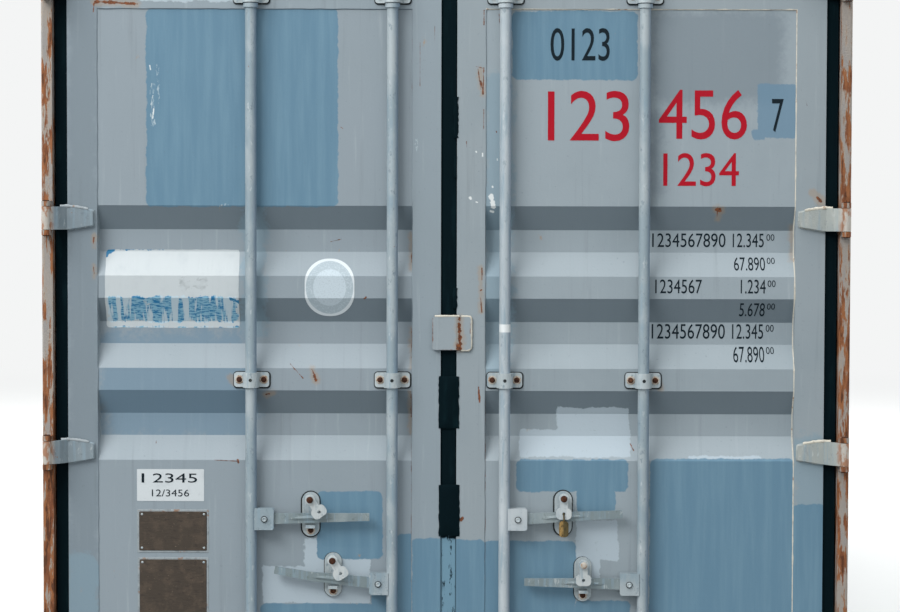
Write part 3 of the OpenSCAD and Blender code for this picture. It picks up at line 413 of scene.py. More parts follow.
def post_paint(name):
    """Cream-grey primer, brushed on the hot-rolled corner posts: worn through to steel that rusts in long runs.

    It gives the eye a chalky light coat above that breaks up into orange and brown streaks, thick near the bottom.
    """
    material, tree, place, _ = new_finish(name)
    axes = add(tree, "SeparateXYZ", {0: place}).node
    left = add(tree, "Math", {0: axes.outputs["X"], 1: 0.0}, operation="LESS_THAN")
    right = add(tree, "Math", {0: left, 1: -0.06, 2: 0.06}, operation="MULTIPLY_ADD")
    left = add(tree, "Math", {0: left, 1: 0.18, 2: -0.02}, operation="MULTIPLY_ADD")
    middle = add(tree, "MapRange", {"Value": axes.outputs["Z"], "From Min": 1.9, "From Max": 1.7, "To Max": right})
    low = add(tree, "MapRange", {"Value": axes.outputs["Z"], "From Min": 1.3, "From Max": 0.8, "To Max": left})
    runs = stains(tree, place, 17, stretch=(1, 1, 7), detail=6, rough=0.66)
    runs = add(tree, "Math", {0: runs, 1: low}, operation="ADD")
    runs = add(tree, "Math", {0: runs, 1: middle}, operation="ADD")
    fine = stains(tree, place, 5, 0.3, 0.7)
    stained = add(tree, "MapRange", {"Value": runs, "From Min": 0.44, "From Max": 0.6, "To Max": 0.75})
    rusted = add(tree, "MapRange", {"Value": runs, "From Min": 0.515, "From Max": 0.56})
    pitted = add(tree, "MapRange", {"Value": runs, "From Min": 0.66, "From Max": 0.72})
    coats = [
        "#9e968e",
        (stains(tree, place, 60, 0.4, 0.65, 0.8, (1, 1, 3)), "#93908e"),
        (stained, "#b39c83"),
        (rusted, lay_coats(tree, ["#95603c", (stains(tree, place, 13, 0.42, 0.62, 0.8, (1, 1, 6)), "#6f4029")])),
        (pitted, "#54321f"),
        (stains(tree, place, 6, 0.6, 0.75, 0.5), "#6b5a4c"),
    ]
    height = add(tree, "Math", {0: fine, 1: rusted, 2: 0.0}, operation="SUBTRACT")
    shade(tree, lay_coats(tree, coats), 0.72, 0.0, height, 0.5, 0.25)
    return material


def worn_zinc(name, ground, rust, dark="#75858d", pale="#b9c2c5", hinge=False, shaded_side=0.0, tape=False):
    """Hot-dip galvanised steel that was painted over and rubbed bare again: mottled, streaked, half metal, half chalk.

    rust sets how much brown shows in its low places; hinge adds the cream paint and rust of a knuckle by the post,
    shaded_side how strong a painted shade is, a darker blue-grey on the faces that face +X, and tape a strip of white
    tape.
    """
    material, tree, place, facing = new_finish(name)
    spangle = stains(tree, place, 15, stretch=(1, 1, 2), detail=5, rough=0.7)
    fine = stains(tree, place, 4, 0.3, 0.7)
    coats = [
        ground,
        (stains(tree, place, 12, 0.45, 0.7, 0.7, (1, 1, 14)), "#8298a5"),
        (stains(tree, place, 120, 0.45, 0.62, 0.8, (1, 1, 2)), pale),
        (stains(tree, place, 15, 0.56, 0.7, 0.8, (1, 1, 2), 5, 0.7), dark),
        (stains(tree, place, 11, 0.6, 0.74, 0.45, (1, 1, 3)), "#cdd3d3"),
        (stains(tree, place, 34, 0.72 - 0.1 * rust, 0.76 - 0.1 * rust, 0.8, detail=6), RUST),
    ]
    if hinge:
        side = add(tree, "SeparateXYZ", {0: place}, out="X")
        side = add(tree, "Math", {0: side}, operation="ABSOLUTE")
        side = add(tree, "MapRange", {"Value": side, "From Min": 1.172, "From Max": 1.184})
        knuckle = lay_coats(tree, ["#b5afa6", (stains(tree, place, 22, 0.46, 0.58, 0.9, (1, 1, 2)), "#99694a")])
        coats.append((side, knuckle))
    # Painted shade: the faces that face +X, away from the light, are laid over with a darker blue-grey.
    if shaded_side:
        plus_x_shade = add(tree, "SeparateXYZ", {0: facing}, out="X")
        plus_x_shade = add(tree, "MapRange", {"Value": plus_x_shade, "From Min": 0.25, "From Max": 0.85, "To Max": shaded_side})
        coats.append((plus_x_shade, "#70869c"))
    if tape:
        up = add(tree, "SeparateXYZ", {0: place}, out="Z")
        off = add(tree, "Math", {0: up, 1: -1.333}, operation="ADD")
        off = add(tree, "Math", {0: off}, operation="ABSOLUTE")
        coats.append((add(tree, "MapRange", {"Value": off, "From Min": 0.013, "From Max": 0.011}), "#dfe3e3"))
    roughness = add(tree, "MapRange", {"Value": spangle, "To Min": 0.4, "To Max": 0.68})
    height = add(tree, "Math", {0: fine, 1: spangle}, operation="ADD")
    shade(tree, lay_coats(tree, coats), roughness, 0.15, height, 0.25)
    return material


def rusty_steel(name):
    """Bare steel, forged and long in the rain: brown crust with darker pits and orange dust."""
    material, tree, place, _ = new_finish(name)
    crust = stains(tree, place, 6, detail=6, rough=0.7)
    coats = [
        "#3d261c",
        (stains(tree, place, 6, 0.45, 0.65, 1.0, detail=6), "#573524"),
        (stains(tree, place, 22, 0.5, 0.68, 0.7), "#74503a"),
        (stains(tree, place, 6, 0.42, 0.3, 1.0, detail=6), "#1f1410"),
    ]
    shade(tree, lay_coats(tree, coats), 0.85, 0.1, crust, 0.7, 0.2)
    return material


def stained_washer(name):
    """Zinc-plated washer under a rusted head: cream-grey, with brown that ran out from the bolt."""
    material, tree, place, _ = new_finish(name)
    crust = stains(tree, place, 5, 0.3, 0.7)
    coats = [
        "#b7afa3",
        (stains(tree, place, 9, 0.45, 0.62, 0.9), "#8d6d53"),
        (stains(tree, place, 9, 0.4, 0.28, 0.8), "#c9cbc8"),
    ]
    shade(tree, lay_coats(tree, coats), 0.6, 0.2, crust, 0.3)
    return material


def door_rubber(name):
    """EPDM rubber, extruded, with dust in its folds: almost black, with a green-blue cast and no gloss.

    The lower end between the leaves was painted over with the doors, and that paint has cracked off in places.
    """
    material, tree, place, facing = new_finish(name)
    axes = add(tree, "SeparateXYZ", {0: place}).node
    fine = stains(tree, place, 6, 0.3, 0.7)
    ragged = stains(tree, place, 14, -0.0, 1.0, 0.03, (1, 1, 3))
    edge = add(tree, "Math", {0: axes.outputs["Z"], 1: ragged}, operation="ADD")
    below = add(tree, "MapRange", {"Value": edge, "From Min": 0.712, "From Max": 0.706})
    side = add(tree, "Math", {0: axes.outputs["X"]}, operation="ABSOLUTE")
    side = add(tree, "Math", {0: side, 1: 0.08}, operation="LESS_THAN")
    whole = add(tree, "Math", {0: below, 1: side}, operation="MULTIPLY")
    cracked = stains(tree, place, 11, 0.64, 0.58, stretch=(1, 1, 4), detail=6, rough=0.7)
    painted = add(tree, "Math", {0: whole, 1: cracked}, operation="MULTIPLY")
    front = add(tree, "SeparateXYZ", {0: facing}, out="Y")
    front = add(tree, "MapRange", {"Value": front, "From Min": -0.2, "From Max": -0.6})
    painted = add(tree, "Math", {0: painted, 1: front}, operation="MULTIPLY")
    coats = [
        "#06151a",
        (stains(tree, place, 26, 0.5, 0.8, 0.7, (1, 1, 6), 5), "#10262b"),
        (stains(tree, place, 12, 0.68, 0.8, 0.5, detail=5), "#253235"),
        (painted, "#7294a6"),
    ]
    shade(tree, lay_coats(tree, coats), 0.9, 0.0, fine, 0.2, 0.05)
    return material


def bedding_pad(name):
    """Near-black and dusty, for the pads under the fittings; the rim that shows round a pad stands for dirt in the gap
    and is painted shade as well.
    """
    material, tree, place, _ = new_finish(name)
    lumps = stains(tree, place, 8, 0.3, 0.7)
    coats = ["#23282a", (stains(tree, place, 14, 0.5, 0.7, 0.6), "#4b4f4e")]
    shade(tree, lay_coats(tree, coats), 0.8, 0.0, lumps, 0.4, 0.2)
    return material


def sealant(name, ground, shadow, clean):
    """Paintable sealant, gunned on by hand and weathered: off-white with dirt and rust in its folds."""
    material, tree, place, _ = new_finish(name)
    lumps = stains(tree, place, 9, 0.3, 0.7)
    coats = [
        ground,
        (stains(tree, place, 16, 0.5, 0.7, 0.8), shadow),
        (stains(tree, place, 26, 0.6, 0.68, 0.8), "#8f6748"),
        (stains(tree, place, 7, 0.58, 0.72, 0.7), clean),
    ]
    shade(tree, lay_coats(tree, coats), 0.65, 0.0, lumps, 0.5, 0.3)
    return material


def stencil_paint(name, colour, chipped):
    """Marking paint, sprayed through a stencil: flat and even, with small chips that show the enamel below."""
    material, tree, place, _ = new_finish(name)
    grit = stains(tree, place, 5, 0.3, 0.7)
    coats = [
        colour,
        (stains(tree, place, 24, 0.5, 0.8, 0.35, (1, 1, 3)), chipped),
        (stains(tree, place, 5, 0.72, 0.77, 0.7, detail=5), "#9aa2a5"),
    ]
    shade(tree, lay_coats(tree, coats), 0.7, 0.0, grit, 0.15, 0.1)
    return material


def torn_label(name):
    """Vinyl film, printed and half peeled: clean white above, below it bare teal glue with white shreds left."""
    material, tree, place, _ = new_finish(name)
    flat = add(tree, "VectorMath", {0: place, 1: (1, 0, 1)}, operation="MULTIPLY")
    ragged = torn_line(tree, flat, 34, 9)
    torn = coated_area(tree, flat, (-1024, -630, 1347, 1425), ragged, 6, 8, 1.5)
    corner = scraped(tree, flat, (-1032, 1553, -1014, 1570, 21), ragged, 4)
    top = scraped(tree, flat, (-1005, 1567, -860, 1567, 3), ragged, 3)
    end = scraped(tree, flat, (-652, 1418, -628, 1411, 8), ragged, 4)
    rim = scraped(tree, flat, (-1026, 1331, -634, 1331, 3), ragged, 4)
    shreds = stains(tree, flat, 24, 0.475, 0.53, stretch=(1, 1, 7), detail=5)
    scratch = stains(tree, flat, 6, 0.43, 0.53, 0.8, (4, 1, 0.8), 5)
    bared = all_of(tree, [torn, rim])
    near = scraped(tree, flat, (-790, 1460, -730, 1456, 26), ragged, 12)
    smudge = add(tree, "Math", {0: stains(tree, flat, 16, 0.38, 0.75, 0.8, (1.5, 1, 1)), 1: near}, operation="MULTIPLY")
    teal = lay_coats(tree, ["#0c6f9e", (scratch, "#93bfd0"), (shreds, "#bccdd5")])
    coats = [
        "#bec5c7",
        (stains(tree, flat, 70, 0.5, 0.75, 0.5), "#adb6ba"),
        (smudge, "#8f9698"),
        (stains(tree, flat, 6, 0.68, 0.75, 0.5), "#8d979b"),
        (bared, teal),
        (all_of(tree, [corner, top, end]), "#11719c"),
    ]
    shade(tree, lay_coats(tree, coats), 0.45, 0.0, shreds, 0.15, 0.35)
    return material


def faded_seal(name):
    """Vinyl film, cut oval and bleached by the sun: milky white, with a bare ring where its print has gone."""
    material, tree, place, _ = new_finish(name)
    off = add(tree, "VectorMath", {0: place, 1: (-0.352, 0, 1.453)}, operation="SUBTRACT")
    unit = add(tree, "VectorMath", {0: off, 1: (1 / 0.077, 0, 1 / 0.086)}, operation="MULTIPLY")
    reach = add(tree, "VectorMath", {0: unit}, out="Value", operation="LENGTH")
    inner = add(tree, "MapRange", {"Value": reach, "From Min": 0.66, "From Max": 0.63}, interpolation_type="SMOOTHSTEP")
    rim = add(tree, "MapRange", {"Value": reach, "From Min": 0.92, "From Max": 0.94}, interpolation_type="SMOOTHSTEP")
    grit = stains(tree, place, 4, 0.35, 0.65)
    coats = [
        "#a7b5bc",
        (stains(tree, place, 5, 0.48, 0.62, 0.7, detail=5), "#bdc9cf"),
        (inner, lay_coats(tree, ["#bfccd3", (stains(tree, place, 4, 0.5, 0.66, 0.6, detail=5), "#a5b2b9")])),
        (rim, "#d5dcdf"),
    ]
    shade(tree, lay_coats(tree, coats), 0.5, 0.0, grit, 0.1, 0.35)
    return material


def small_label(name):
    """Vinyl film, plain white: even and smooth, dulled in soft grey clouds."""
    material, tree, place, _ = new_finish(name)
    grit = stains(tree, place, 6, 0.3, 0.7)
    coats = ["#cdd3d5", (stains(tree, place, 40, 0.5, 0.75, 0.6), "#b4bbbe")]
    shade(tree, lay_coats(tree, coats), 0.45, 0.0, grit, 0.1, 0.35)
    return material


def etched_plate(name):
    """Brass sheet, etched and then tarnished: dark brown with lighter rubbed places and no print left."""
    material, tree, place, _ = new_finish(name)
    etching = stains(tree, place, 5, 0.4, 0.6, stretch=(5, 1, 1))
    coats = [
        "#3b332b",
        (stains(tree, place, 30, 0.45, 0.65, 0.8, detail=5), "#4b4036"),
        (stains(tree, place, 12, 0.56, 0.68, 0.7, (2, 1, 1), 5), "#2c2520"),
        (stains(tree, place, 5, 0.66, 0.74, 0.7), "#8b7d6b"),
    ]
    shade(tree, lay_coats(tree, coats), 0.5, 0.35, etching, 0.25)
    return material


def worn_plywood(name):
    """Hardwood plywood, hot-pressed and oiled: brown veneer with long dark grain and scuffs from loading."""
    material, tree, place, _ = new_finish(name)
    fibre = stains(tree, place, 7, stretch=(1, 60, 1), detail=5, rough=0.65)
    coats = [
        "#7c5a3c",
        (stains(tree, place, 7, 0.42, 0.62, stretch=(1, 60, 1), detail=5), "#5c4029"),
        (stains(tree, place, 160, 0.5, 0.72, stretch=(1, 3, 1), detail=5), "#94795a"),
        (stains(tree, place, 110, 0.42, 0.28, stretch=(1, 3, 1), detail=5), "#3f2f22"),
    ]
    shade(tree, lay_coats(tree, coats), 0.7, 0.0, fibre, 0.5, 0.3)
    return material


def dull_brass(name):
    """Brass, cast and handled for years: rubbed brown-gold with dark tarnish in clouds, and a painted shade of dark
    olive on its right part.
    """
    material, tree, place, _ = new_finish(name)
    tarnish = stains(tree, place, 8, stretch=(1, 1, 2), detail=5, rough=0.65)
    coats = [
        "#94794a",
        (stains(tree, place, 8, 0.48, 0.64, stretch=(1, 1, 2), detail=5), "#463a25"),
        (stains(tree, place, 8, 0.42, 0.28, stretch=(1, 1, 2), detail=5), "#cdb682"),
    ]
    # Painted shade: the padlock's right part, past x = 0.35 m, is laid over with a dark olive.
    side = add(tree, "SeparateXYZ", {0: place}, out="X")
    side = add(tree, "MapRange", {"Value": side, "From Min": 0.35, "From Max": 0.356, "To Max": 0.85})
    coats.append((side, "#3a3724"))
    roughness = add(tree, "MapRange", {"Value": tarnish, "To Min": 0.3, "To Max": 0.6})
    shade(tree, lay_coats(tree, coats), roughness, 0.7, tarnish, 0.3)
    return material


LEFT_FRAME_ENAMEL = door_enamel("left_frame_enamel", LEFT_FRAME_COAT)
LEFT_PANEL_ENAMEL = door_enamel("left_panel_enamel", LEFT_PANEL_COAT)
RIGHT_FRAME_ENAMEL = door_enamel("right_frame_enamel", RIGHT_FRAME_COAT)
RIGHT_PANEL_ENAMEL = door_enamel("right_panel_enamel", RIGHT_PANEL_COAT)
WALL_ENAMEL = body_enamel("wall_enamel", PALE_ENAMEL, 1.1, 0.9)
ROOF_ENAMEL = body_enamel("roof_enamel", "#7c878c", 1.4, 1.0)
FRAME_ENAMEL = body_enamel("frame_enamel", PALE_ENAMEL, 1.1, 1.3)
BASE_ENAMEL = body_enamel("base_enamel", OLD_ENAMEL, 1.2, 1.5)
POST_PAINT = post_paint("post_paint")
BAR_ZINC = worn_zinc("galvanised_tube", "#8c9ba2", 0.2, "#6f7f87", "#a9b2b5", shaded_side=0.6)
PALE_ZINC = worn_zinc("galvanised_pale_tube", "#a9b3b8", 0.2, "#87959d", "#bbc2c5", shaded_side=0.5, tape=True)
FITTING_ZINC = worn_zinc("galvanised_fitting", "#a9b2b4", 0.3)
HANDLE_ZINC = worn_zinc("galvanised_handle", "#768386", 0.4, "#56635f", "#929d9f")
LATCH_ZINC = worn_zinc("galvanised_latch", "#b9bfbf", 0.4, "#8a9498", "#cdd1d0")
# The left blades are a darker blue-grey than the right ones: in part their paint, in part painted shade.
SHADED_BLADE_ZINC = worn_zinc("galvanised_forging_in_shade", "#78858c", 0.6, "#64717a", "#8b969b", hinge=True)
PALE_BLADE_ZINC = worn_zinc("galvanised_pale_forging", "#9ba19e", 0.6, "#848c8c", "#aeb1ab", hinge=True)
RUSTY_STEEL = rusty_steel("rusty_steel")
WASHER = stained_washer("stained_washer")
RUBBER = door_rubber("epdm_rubber")
DARK_PAD_AND_SHADE = bedding_pad("dark_pad_and_shade")
SEALANT = sealant("weathered_sealant", "#98a0a3", "#7b8285", "#b9bec0")
CREAM_SEALANT = sealant("cream_sealant", "#c9c4b6", "#a9a498", "#d9d6cc")
RED_PAINT = stencil_paint("red_marking_paint", "#ad1627", "#a92a39")
BLACK_PAINT = stencil_paint("black_marking_paint", "#131f26", "#2f3c44")
TORN_LABEL = torn_label("torn_label_film")
FADED_SEAL = faded_seal("faded_oval_film")
SMALL_LABEL = small_label("small_label_film")
DATA_PLATE = etched_plate("tarnished_plate")
PLYWOOD = worn_plywood("oiled_plywood")
BRASS = dull_brass("cast_brass")

FINISHES = {
    LEFT_FRAME_ENAMEL: ["left_leaf_frame"],
    LEFT_PANEL_ENAMEL: ["left_leaf_panel"],
    RIGHT_FRAME_ENAMEL: ["right_leaf_frame", "overlap_plate"],
    RIGHT_PANEL_ENAMEL: ["right_leaf_panel"],
    WALL_ENAMEL: ["left_side_wall", "right_side_wall", "front_wall"],
    ROOF_ENAMEL: ["roof"],
    FRAME_ENAMEL: ["bottom_corner_castings", "top_corner_castings", "front_posts", "top_side_rails", "front_header",
                   "door_header"],
    POST_PAINT: ["rear_posts", "hinge_lugs"],
    BASE_ENAMEL: ["bottom_side_rails", "front_sill", "door_sill", "crossmembers", "fork_pockets"],
    BAR_ZINC: ["left_outer_bar", "left_inner_bar", "right_outer_bar"],
    PALE_ZINC: ["right_inner_bar"],
    FITTING_ZINC: ["left_bar_guides", "right_bar_guides", "left_catches", "right_catches", "cam_keepers"],
    HANDLE_ZINC: [f"{lock}_handle" for lock in LOCKS],
    LATCH_ZINC: [f"{lock}_latch" for lock in LOCKS],
    SHADED_BLADE_ZINC: ["left_hinge_blades"],
    PALE_BLADE_ZINC: ["right_hinge_blades"],
    RUSTY_STEEL: ["hinge_pins"],
    RUBBER: ["left_gasket", "right_gasket"],
    PLYWOOD: ["floor"],
    BRASS: ["padlock"],
}
for finish, names in FINISHES.items():
    for name in names:
        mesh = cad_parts[name].data
        mesh.materials.clear()
        mesh.materials.append(finish)

# -------- tools for pieces


def finish_piece(name, shape, finish, body, crease=40):
    """Turns a drawn shape into a piece that rides on its body; edges sharper than crease degrees stay so, with 0 all."""
    bmesh.ops.recalc_face_normals(shape, faces=shape.faces)
    mesh = bpy.data.meshes.new(name)
    shape.to_mesh(mesh)
    shape.free()
    mesh.materials.append(finish)
    for face in mesh.polygons:
        face.use_smooth = crease > 0
    if crease:
        mesh.set_sharp_from_angle(angle=math.radians(crease))
    piece = bpy.data.objects.new(name, mesh)
    bpy.context.scene.collection.objects.link(piece)
    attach(piece, body)
    return piece


def turned(shape, centre, outline, steps=20, toward=(0, -1, 0)):
    """Turns an outline of (radius, how far out) about an axis that leaves the steel at centre."""
    out = Vector(toward)
    side = out.orthogonal().normalized()
    other = out.cross(side)
    rings = []
    for radius, forward in outline:
        base = Vector(centre) + out * forward
        count = 1 if radius == 0 else steps
        turns = [2 * math.pi * i / steps for i in range(count)]
        rings.append(
            [shape.verts.new((base + (side * math.cos(t) + other * math.sin(t)) * radius) * MM) for t in turns]
        )
    for inner, outer in zip(rings, rings[1:]):
        for i in range(steps):
            j = (i + 1) % steps
            corners = [inner[i % len(inner)], inner[j % len(inner)], outer[j % len(outer)], outer[i % len(outer)]]
            shape.faces.new(list(dict.fromkeys(corners)))


def rounded(x, z, wide, high, corner, steps=5):
    """The outline of a rectangle with round corners about (x, z)."""
    points = []
    for quarter, (sx, sz) in enumerate(((1, 1), (-1, 1), (-1, -1), (1, -1))):
        cx, cz = x + sx * (wide / 2 - corner), z + sz * (high / 2 - corner)
        for i in range(steps + 1):
            turn = math.pi / 2 * (quarter + i / steps)
            points.append((cx + corner * math.cos(turn), cz + corner * math.sin(turn)))
    return points


def plate(shape, x, z, wide, high, corner, back, front, bevel=0.6):
    """A flat plate with round corners and a broken front edge, from y = back to y = front."""
    outline = [
        (rounded(x, z, wide, high, corner), back),
        (rounded(x, z, wide, high, corner), front + bevel),
        (rounded(x, z, wide - 2 * bevel, high - 2 * bevel, corner - bevel), front),
    ]
    rings = [[shape.verts.new((px * MM, y * MM, pz * MM)) for px, pz in points] for points, y in outline]
    for low, high_ring in zip(rings, rings[1:]):
        for i in range(len(low)):
            j = (i + 1) % len(low)
            shape.faces.new((low[i], low[j], high_ring[j], high_ring[i]))
    shape.faces.new(rings[-1])
    shape.faces.new(rings[0][::-1])


def bead(shape, path, radius, lumps, steps=6):
    """A weld or sealant bead along a path of (x, y, z): half sunk in the steel, uneven as it was laid by hand."""
    points = [Vector(p) for p in path]
    rings = []
    for i, point in enumerate(points):
        ahead = (points[min(i + 1, len(points) - 1)] - points[max(i - 1, 0)]).normalized()
        side = ahead.cross(Vector((0, -1, 0))).normalized()
        out = side.cross(ahead)
        size = radius * lumps.uniform(0.78, 1.15)
        turns = [math.pi * k / steps for k in range(steps + 1)]
        rings.append([shape.verts.new((point + (side * math.cos(t) + out * math.sin(t)) * size) * MM) for t in turns])
    for low, high in zip(rings, rings[1:]):
        for k in range(steps):
            shape.faces.new((low[k], low[k + 1], high[k + 1], high[k]))
    for end in (rings[0], rings[-1]):
        shape.faces.new(end)


def along(points, step):
    """The same path with a point at least every step mm."""
    path = [Vector(points[0])]
    for start, end in zip(points, points[1:]):
        start, end = Vector(start), Vector(end)
        count = max(1, round((end - start).length / step))
        path += [start.lerp(end, (i + 1) / count) for i in range(count)]
    return path


def lay_on_panel(shape, lift):
    """Bends a flat drawing into the troughs of the pressed panel, lift mm in front of it."""
    kinks = [middle + off for middle in TROUGHS for off in (-TROUGH_EDGE, -TROUGH_FLAT, TROUGH_FLAT, TROUGH_EDGE)]
    for kink in kinks:
        whole = shape.verts[:] + shape.edges[:] + shape.faces[:]
        bmesh.ops.bisect_plane(shape, geom=whole, dist=1e-6, plane_co=(0, 0, kink * MM), plane_no=(0, 0, 1))
    for vert in shape.verts:
        vert.co.y = (PANEL_FACE - lift + panel_depth(vert.co.z / MM)) * MM


def film(name, outline, finish, body, lift=0.5):
    """A printed film that is stuck on the pressed panel and follows its troughs."""
    skin = bmesh.new()
    skin.faces.new([skin.verts.new((x * MM, 0, z * MM)) for x, z in outline])
    lay_on_panel(skin, lift)
    return finish_piece(name, skin, finish, body, 0)


def figures(name, lines, finish, body, lift=0.5):
    """Plain numbers, stencilled on a leaf. Each line is its text and the box it fills: x0, x1, z0, z1."""
    shape = bmesh.new()
    for text, (x0, x1, z0, z1) in lines:
        letters = bpy.data.curves.new(name, "FONT")
        letters.body = text
        letters.resolution_u = 5
        holder = bpy.data.objects.new(name, letters)
        bpy.context.scene.collection.objects.link(holder)
        bpy.context.view_layer.update()
        drawn = bpy.data.meshes.new_from_object(holder.evaluated_get(bpy.context.evaluated_depsgraph_get()))
        bpy.data.objects.remove(holder)
        bpy.data.curves.remove(letters)
        before = len(shape.verts)
        shape.from_mesh(drawn)
        bpy.data.meshes.remove(drawn)
        shape.verts.ensure_lookup_table()
        new = shape.verts[before:]
        low_x, high_x = min(v.co.x for v in new), max(v.co.x for v in new)
        low_y, high_y = min(v.co.y for v in new), max(v.co.y for v in new)
        for vert in new:
            across = (vert.co.x - low_x) / (high_x - low_x)
            up = (vert.co.y - low_y) / (high_y - low_y)
            vert.co = Vector((x0 + across * (x1 - x0), 0, z0 + up * (z1 - z0))) * MM
    lay_on_panel(shape, lift)
    slivers = [face for face in shape.faces if face.calc_area() < 1e-10]
    bmesh.ops.delete(shape, geom=slivers, context="FACES_ONLY")
    return finish_piece(name, shape, finish, body, 0)


def ragged_outline(points, step, swing, hand):
    """The outline of something torn: the straight one with a point every step mm, each pushed off by up to swing."""
    torn = []
    for (x0, z0), (x1, z1) in zip(points, points[1:] + points[:1]):
        count = max(1, round(math.hypot(x1 - x0, z1 - z0) / step))
        for i in range(count):
            share = i / count
            torn.append((x0 + (x1 - x0) * share + hand.uniform(-swing, swing),
                         z0 + (z1 - z0) * share + hand.uniform(-swing, swing)))
    return torn


def slab(shape, outline, back, front, belly=0.0):
    """A thin sheet with the given outline, from y = back to y = front; belly lifts its middle off the door."""
    middle_x = sum(x for x, _ in outline) / len(outline)
    middle_z = sum(z for _, z in outline) / len(outline)
    backs = [shape.verts.new((x * MM, back * MM, z * MM)) for x, z in outline]
    edge = [shape.verts.new((x * MM, front * MM, z * MM)) for x, z in outline]
    inner = [
        shape.verts.new(((x + (middle_x - x) * 0.3) * MM, (front - belly) * MM, (z + (middle_z - z) * 0.08) * MM))
        for x, z in outline
    ]
    for low, high in ((backs, edge), (edge, inner)):
        for i in range(len(low)):
            j = (i + 1) % len(low)
            shape.faces.new((low[i], low[j], high[j], high[i]))
    shape.faces.new(inner)
    shape.faces.new(backs[::-1])


# -------- bolts, pads and rivets

BOLT_DOME = [(0, 6.5), (3.5, 6.2), (6.5, 5.0), (8.4, 2.8), (9.0, 0.8), (9.0, 0)]
BOLT_WASHER = [(8.5, 1.8), (12.2, 1.8), (13.0, 1.2), (13.2, 0)]
PIVOT_CAP = [(0, 3.2), (5.5, 3.0), (8.6, 2.0), (10.2, 0.4), (10.2, 0)]
HUB_RIVET = [(0, 2.0), (3.6, 2.0), (5.0, 3.0), (6.8, 2.6), (7.8, 1.0), (7.8, 0)]
# A dark ring round each hub rivet, a painted shadow.
HUB_SHADOW_RING = [(7.4, 0.5), (9.6, 0.5), (10.0, 0)]
GREASE_HOLE = [(0, 0.2), (3.6, 0.2), (4.4, 0.5), (5.0, 0.4), (5.2, 0)]
PLATE_RIVET = [(0, 1.6), (2.0, 1.3), (3.2, 0.6), (3.6, 0)]
FLOOR_SCREW = [(0, 0.3), (2.0, 0.3), (2.6, 0.9), (6.0, 0.9), (6.6, 0)]

BAR_FRONT = -3003.5
HUB_FRONT = -2999.0
PIVOT_FRONT = -3013.0
CATCH_FRONT = -2959.0


def fasten_leaf(side):
    """The bolts of a leaf's guides and catches, their washers, and the pads under the fittings, whose dark rim is
    painted shade in part.
    """
    bolts, washers, pads, holes = bmesh.new(), bmesh.new(), bmesh.new(), bmesh.new()
    for lock, (x, _, _, (catch_x, catch_z)) in LOCKS.items():
        if not lock.startswith(side):
            continue
        for z, face in GUIDE_HEIGHTS:
            # The pad's rim is partly painted shade: under the guides it sits a little lower and further right, where
            # their shadow falls.
            plate(pads, x + 0.8, z - 1.0, 113, 52, 12, face + 1, face - 3)
            turned(holes, (x, BAR_FRONT, z + 0.5), GREASE_HOLE, 14)
            for off in (-37, 37):
                turned(washers, (x + off, face - 8, z), BOLT_WASHER)
                turned(bolts, (x + off, face - 8, z), BOLT_DOME, 16)
        # A wider dark rim round these catches, partly painted shade.
        rim = 8 if lock in ("left_outer", "right_inner") else 3
        plate(pads, catch_x - 0.8, catch_z + 8.5, 52 + rim, 134 + rim, 26 + rim / 2 - 0.1,
              PANEL_FACE + 1, PANEL_FACE - 3)
        turned(washers, (catch_x, CATCH_FRONT, catch_z - 40), BOLT_WASHER)
        turned(bolts, (catch_x, CATCH_FRONT, catch_z - 40), BOLT_DOME, 16)
        turned(washers if lock == "right_outer" else bolts, (catch_x, PIVOT_FRONT, catch_z + 58), PIVOT_CAP, 16)
    finish_piece(f"{side}_fitting_pads", pads, DARK_PAD_AND_SHADE, f"{side}_door")
    finish_piece(f"{side}_guide_and_catch_bolts", bolts, RUSTY_STEEL, f"{side}_door")
    finish_piece(f"{side}_bolt_washers", washers, WASHER, f"{side}_door")
    finish_piece(f"{side}_guide_grease_holes", holes, DARK_PAD_AND_SHADE, f"{side}_door")


def fasten_hub(lock):
    """The rivet that a handle turns on, with a dark ring round it that is a painted shadow."""
    x, way, z, _ = LOCKS[lock]
    rivet, shadow_ring = bmesh.new(), bmesh.new()
    turned(rivet, (x + 41 * way, HUB_FRONT, z), HUB_RIVET, 18)
    turned(shadow_ring, (x + 41 * way, HUB_FRONT, z), HUB_SHADOW_RING, 18)
    finish_piece(f"{lock}_hub_rivet", rivet, FITTING_ZINC, f"{lock}_bar")
    finish_piece(f"{lock}_hub_shadow_ring", shadow_ring, DARK_PAD_AND_SHADE, f"{lock}_bar")


def screw_floor():
    """Self-tapping screws that hold the floor to the crossmembers, in rows across the container."""
    low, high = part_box("floor")
    top = high[2] / MM
    screws = bmesh.new()
    rows = int((high[1] - low[1]) / MM // 305)
    for row in range(1, rows):
        y = low[1] / MM + row * (high[1] - low[1]) / MM / rows
        for x in (-1050, -820, -560, -300, -50, 50, 300, 560, 820, 1050):
            turned(screws, (x, y, top), FLOOR_SCREW, 10, (0, 0, 1))
    finish_piece("floor_screws", screws, RUSTY_STEEL, "container")


# -------- welds and sealant


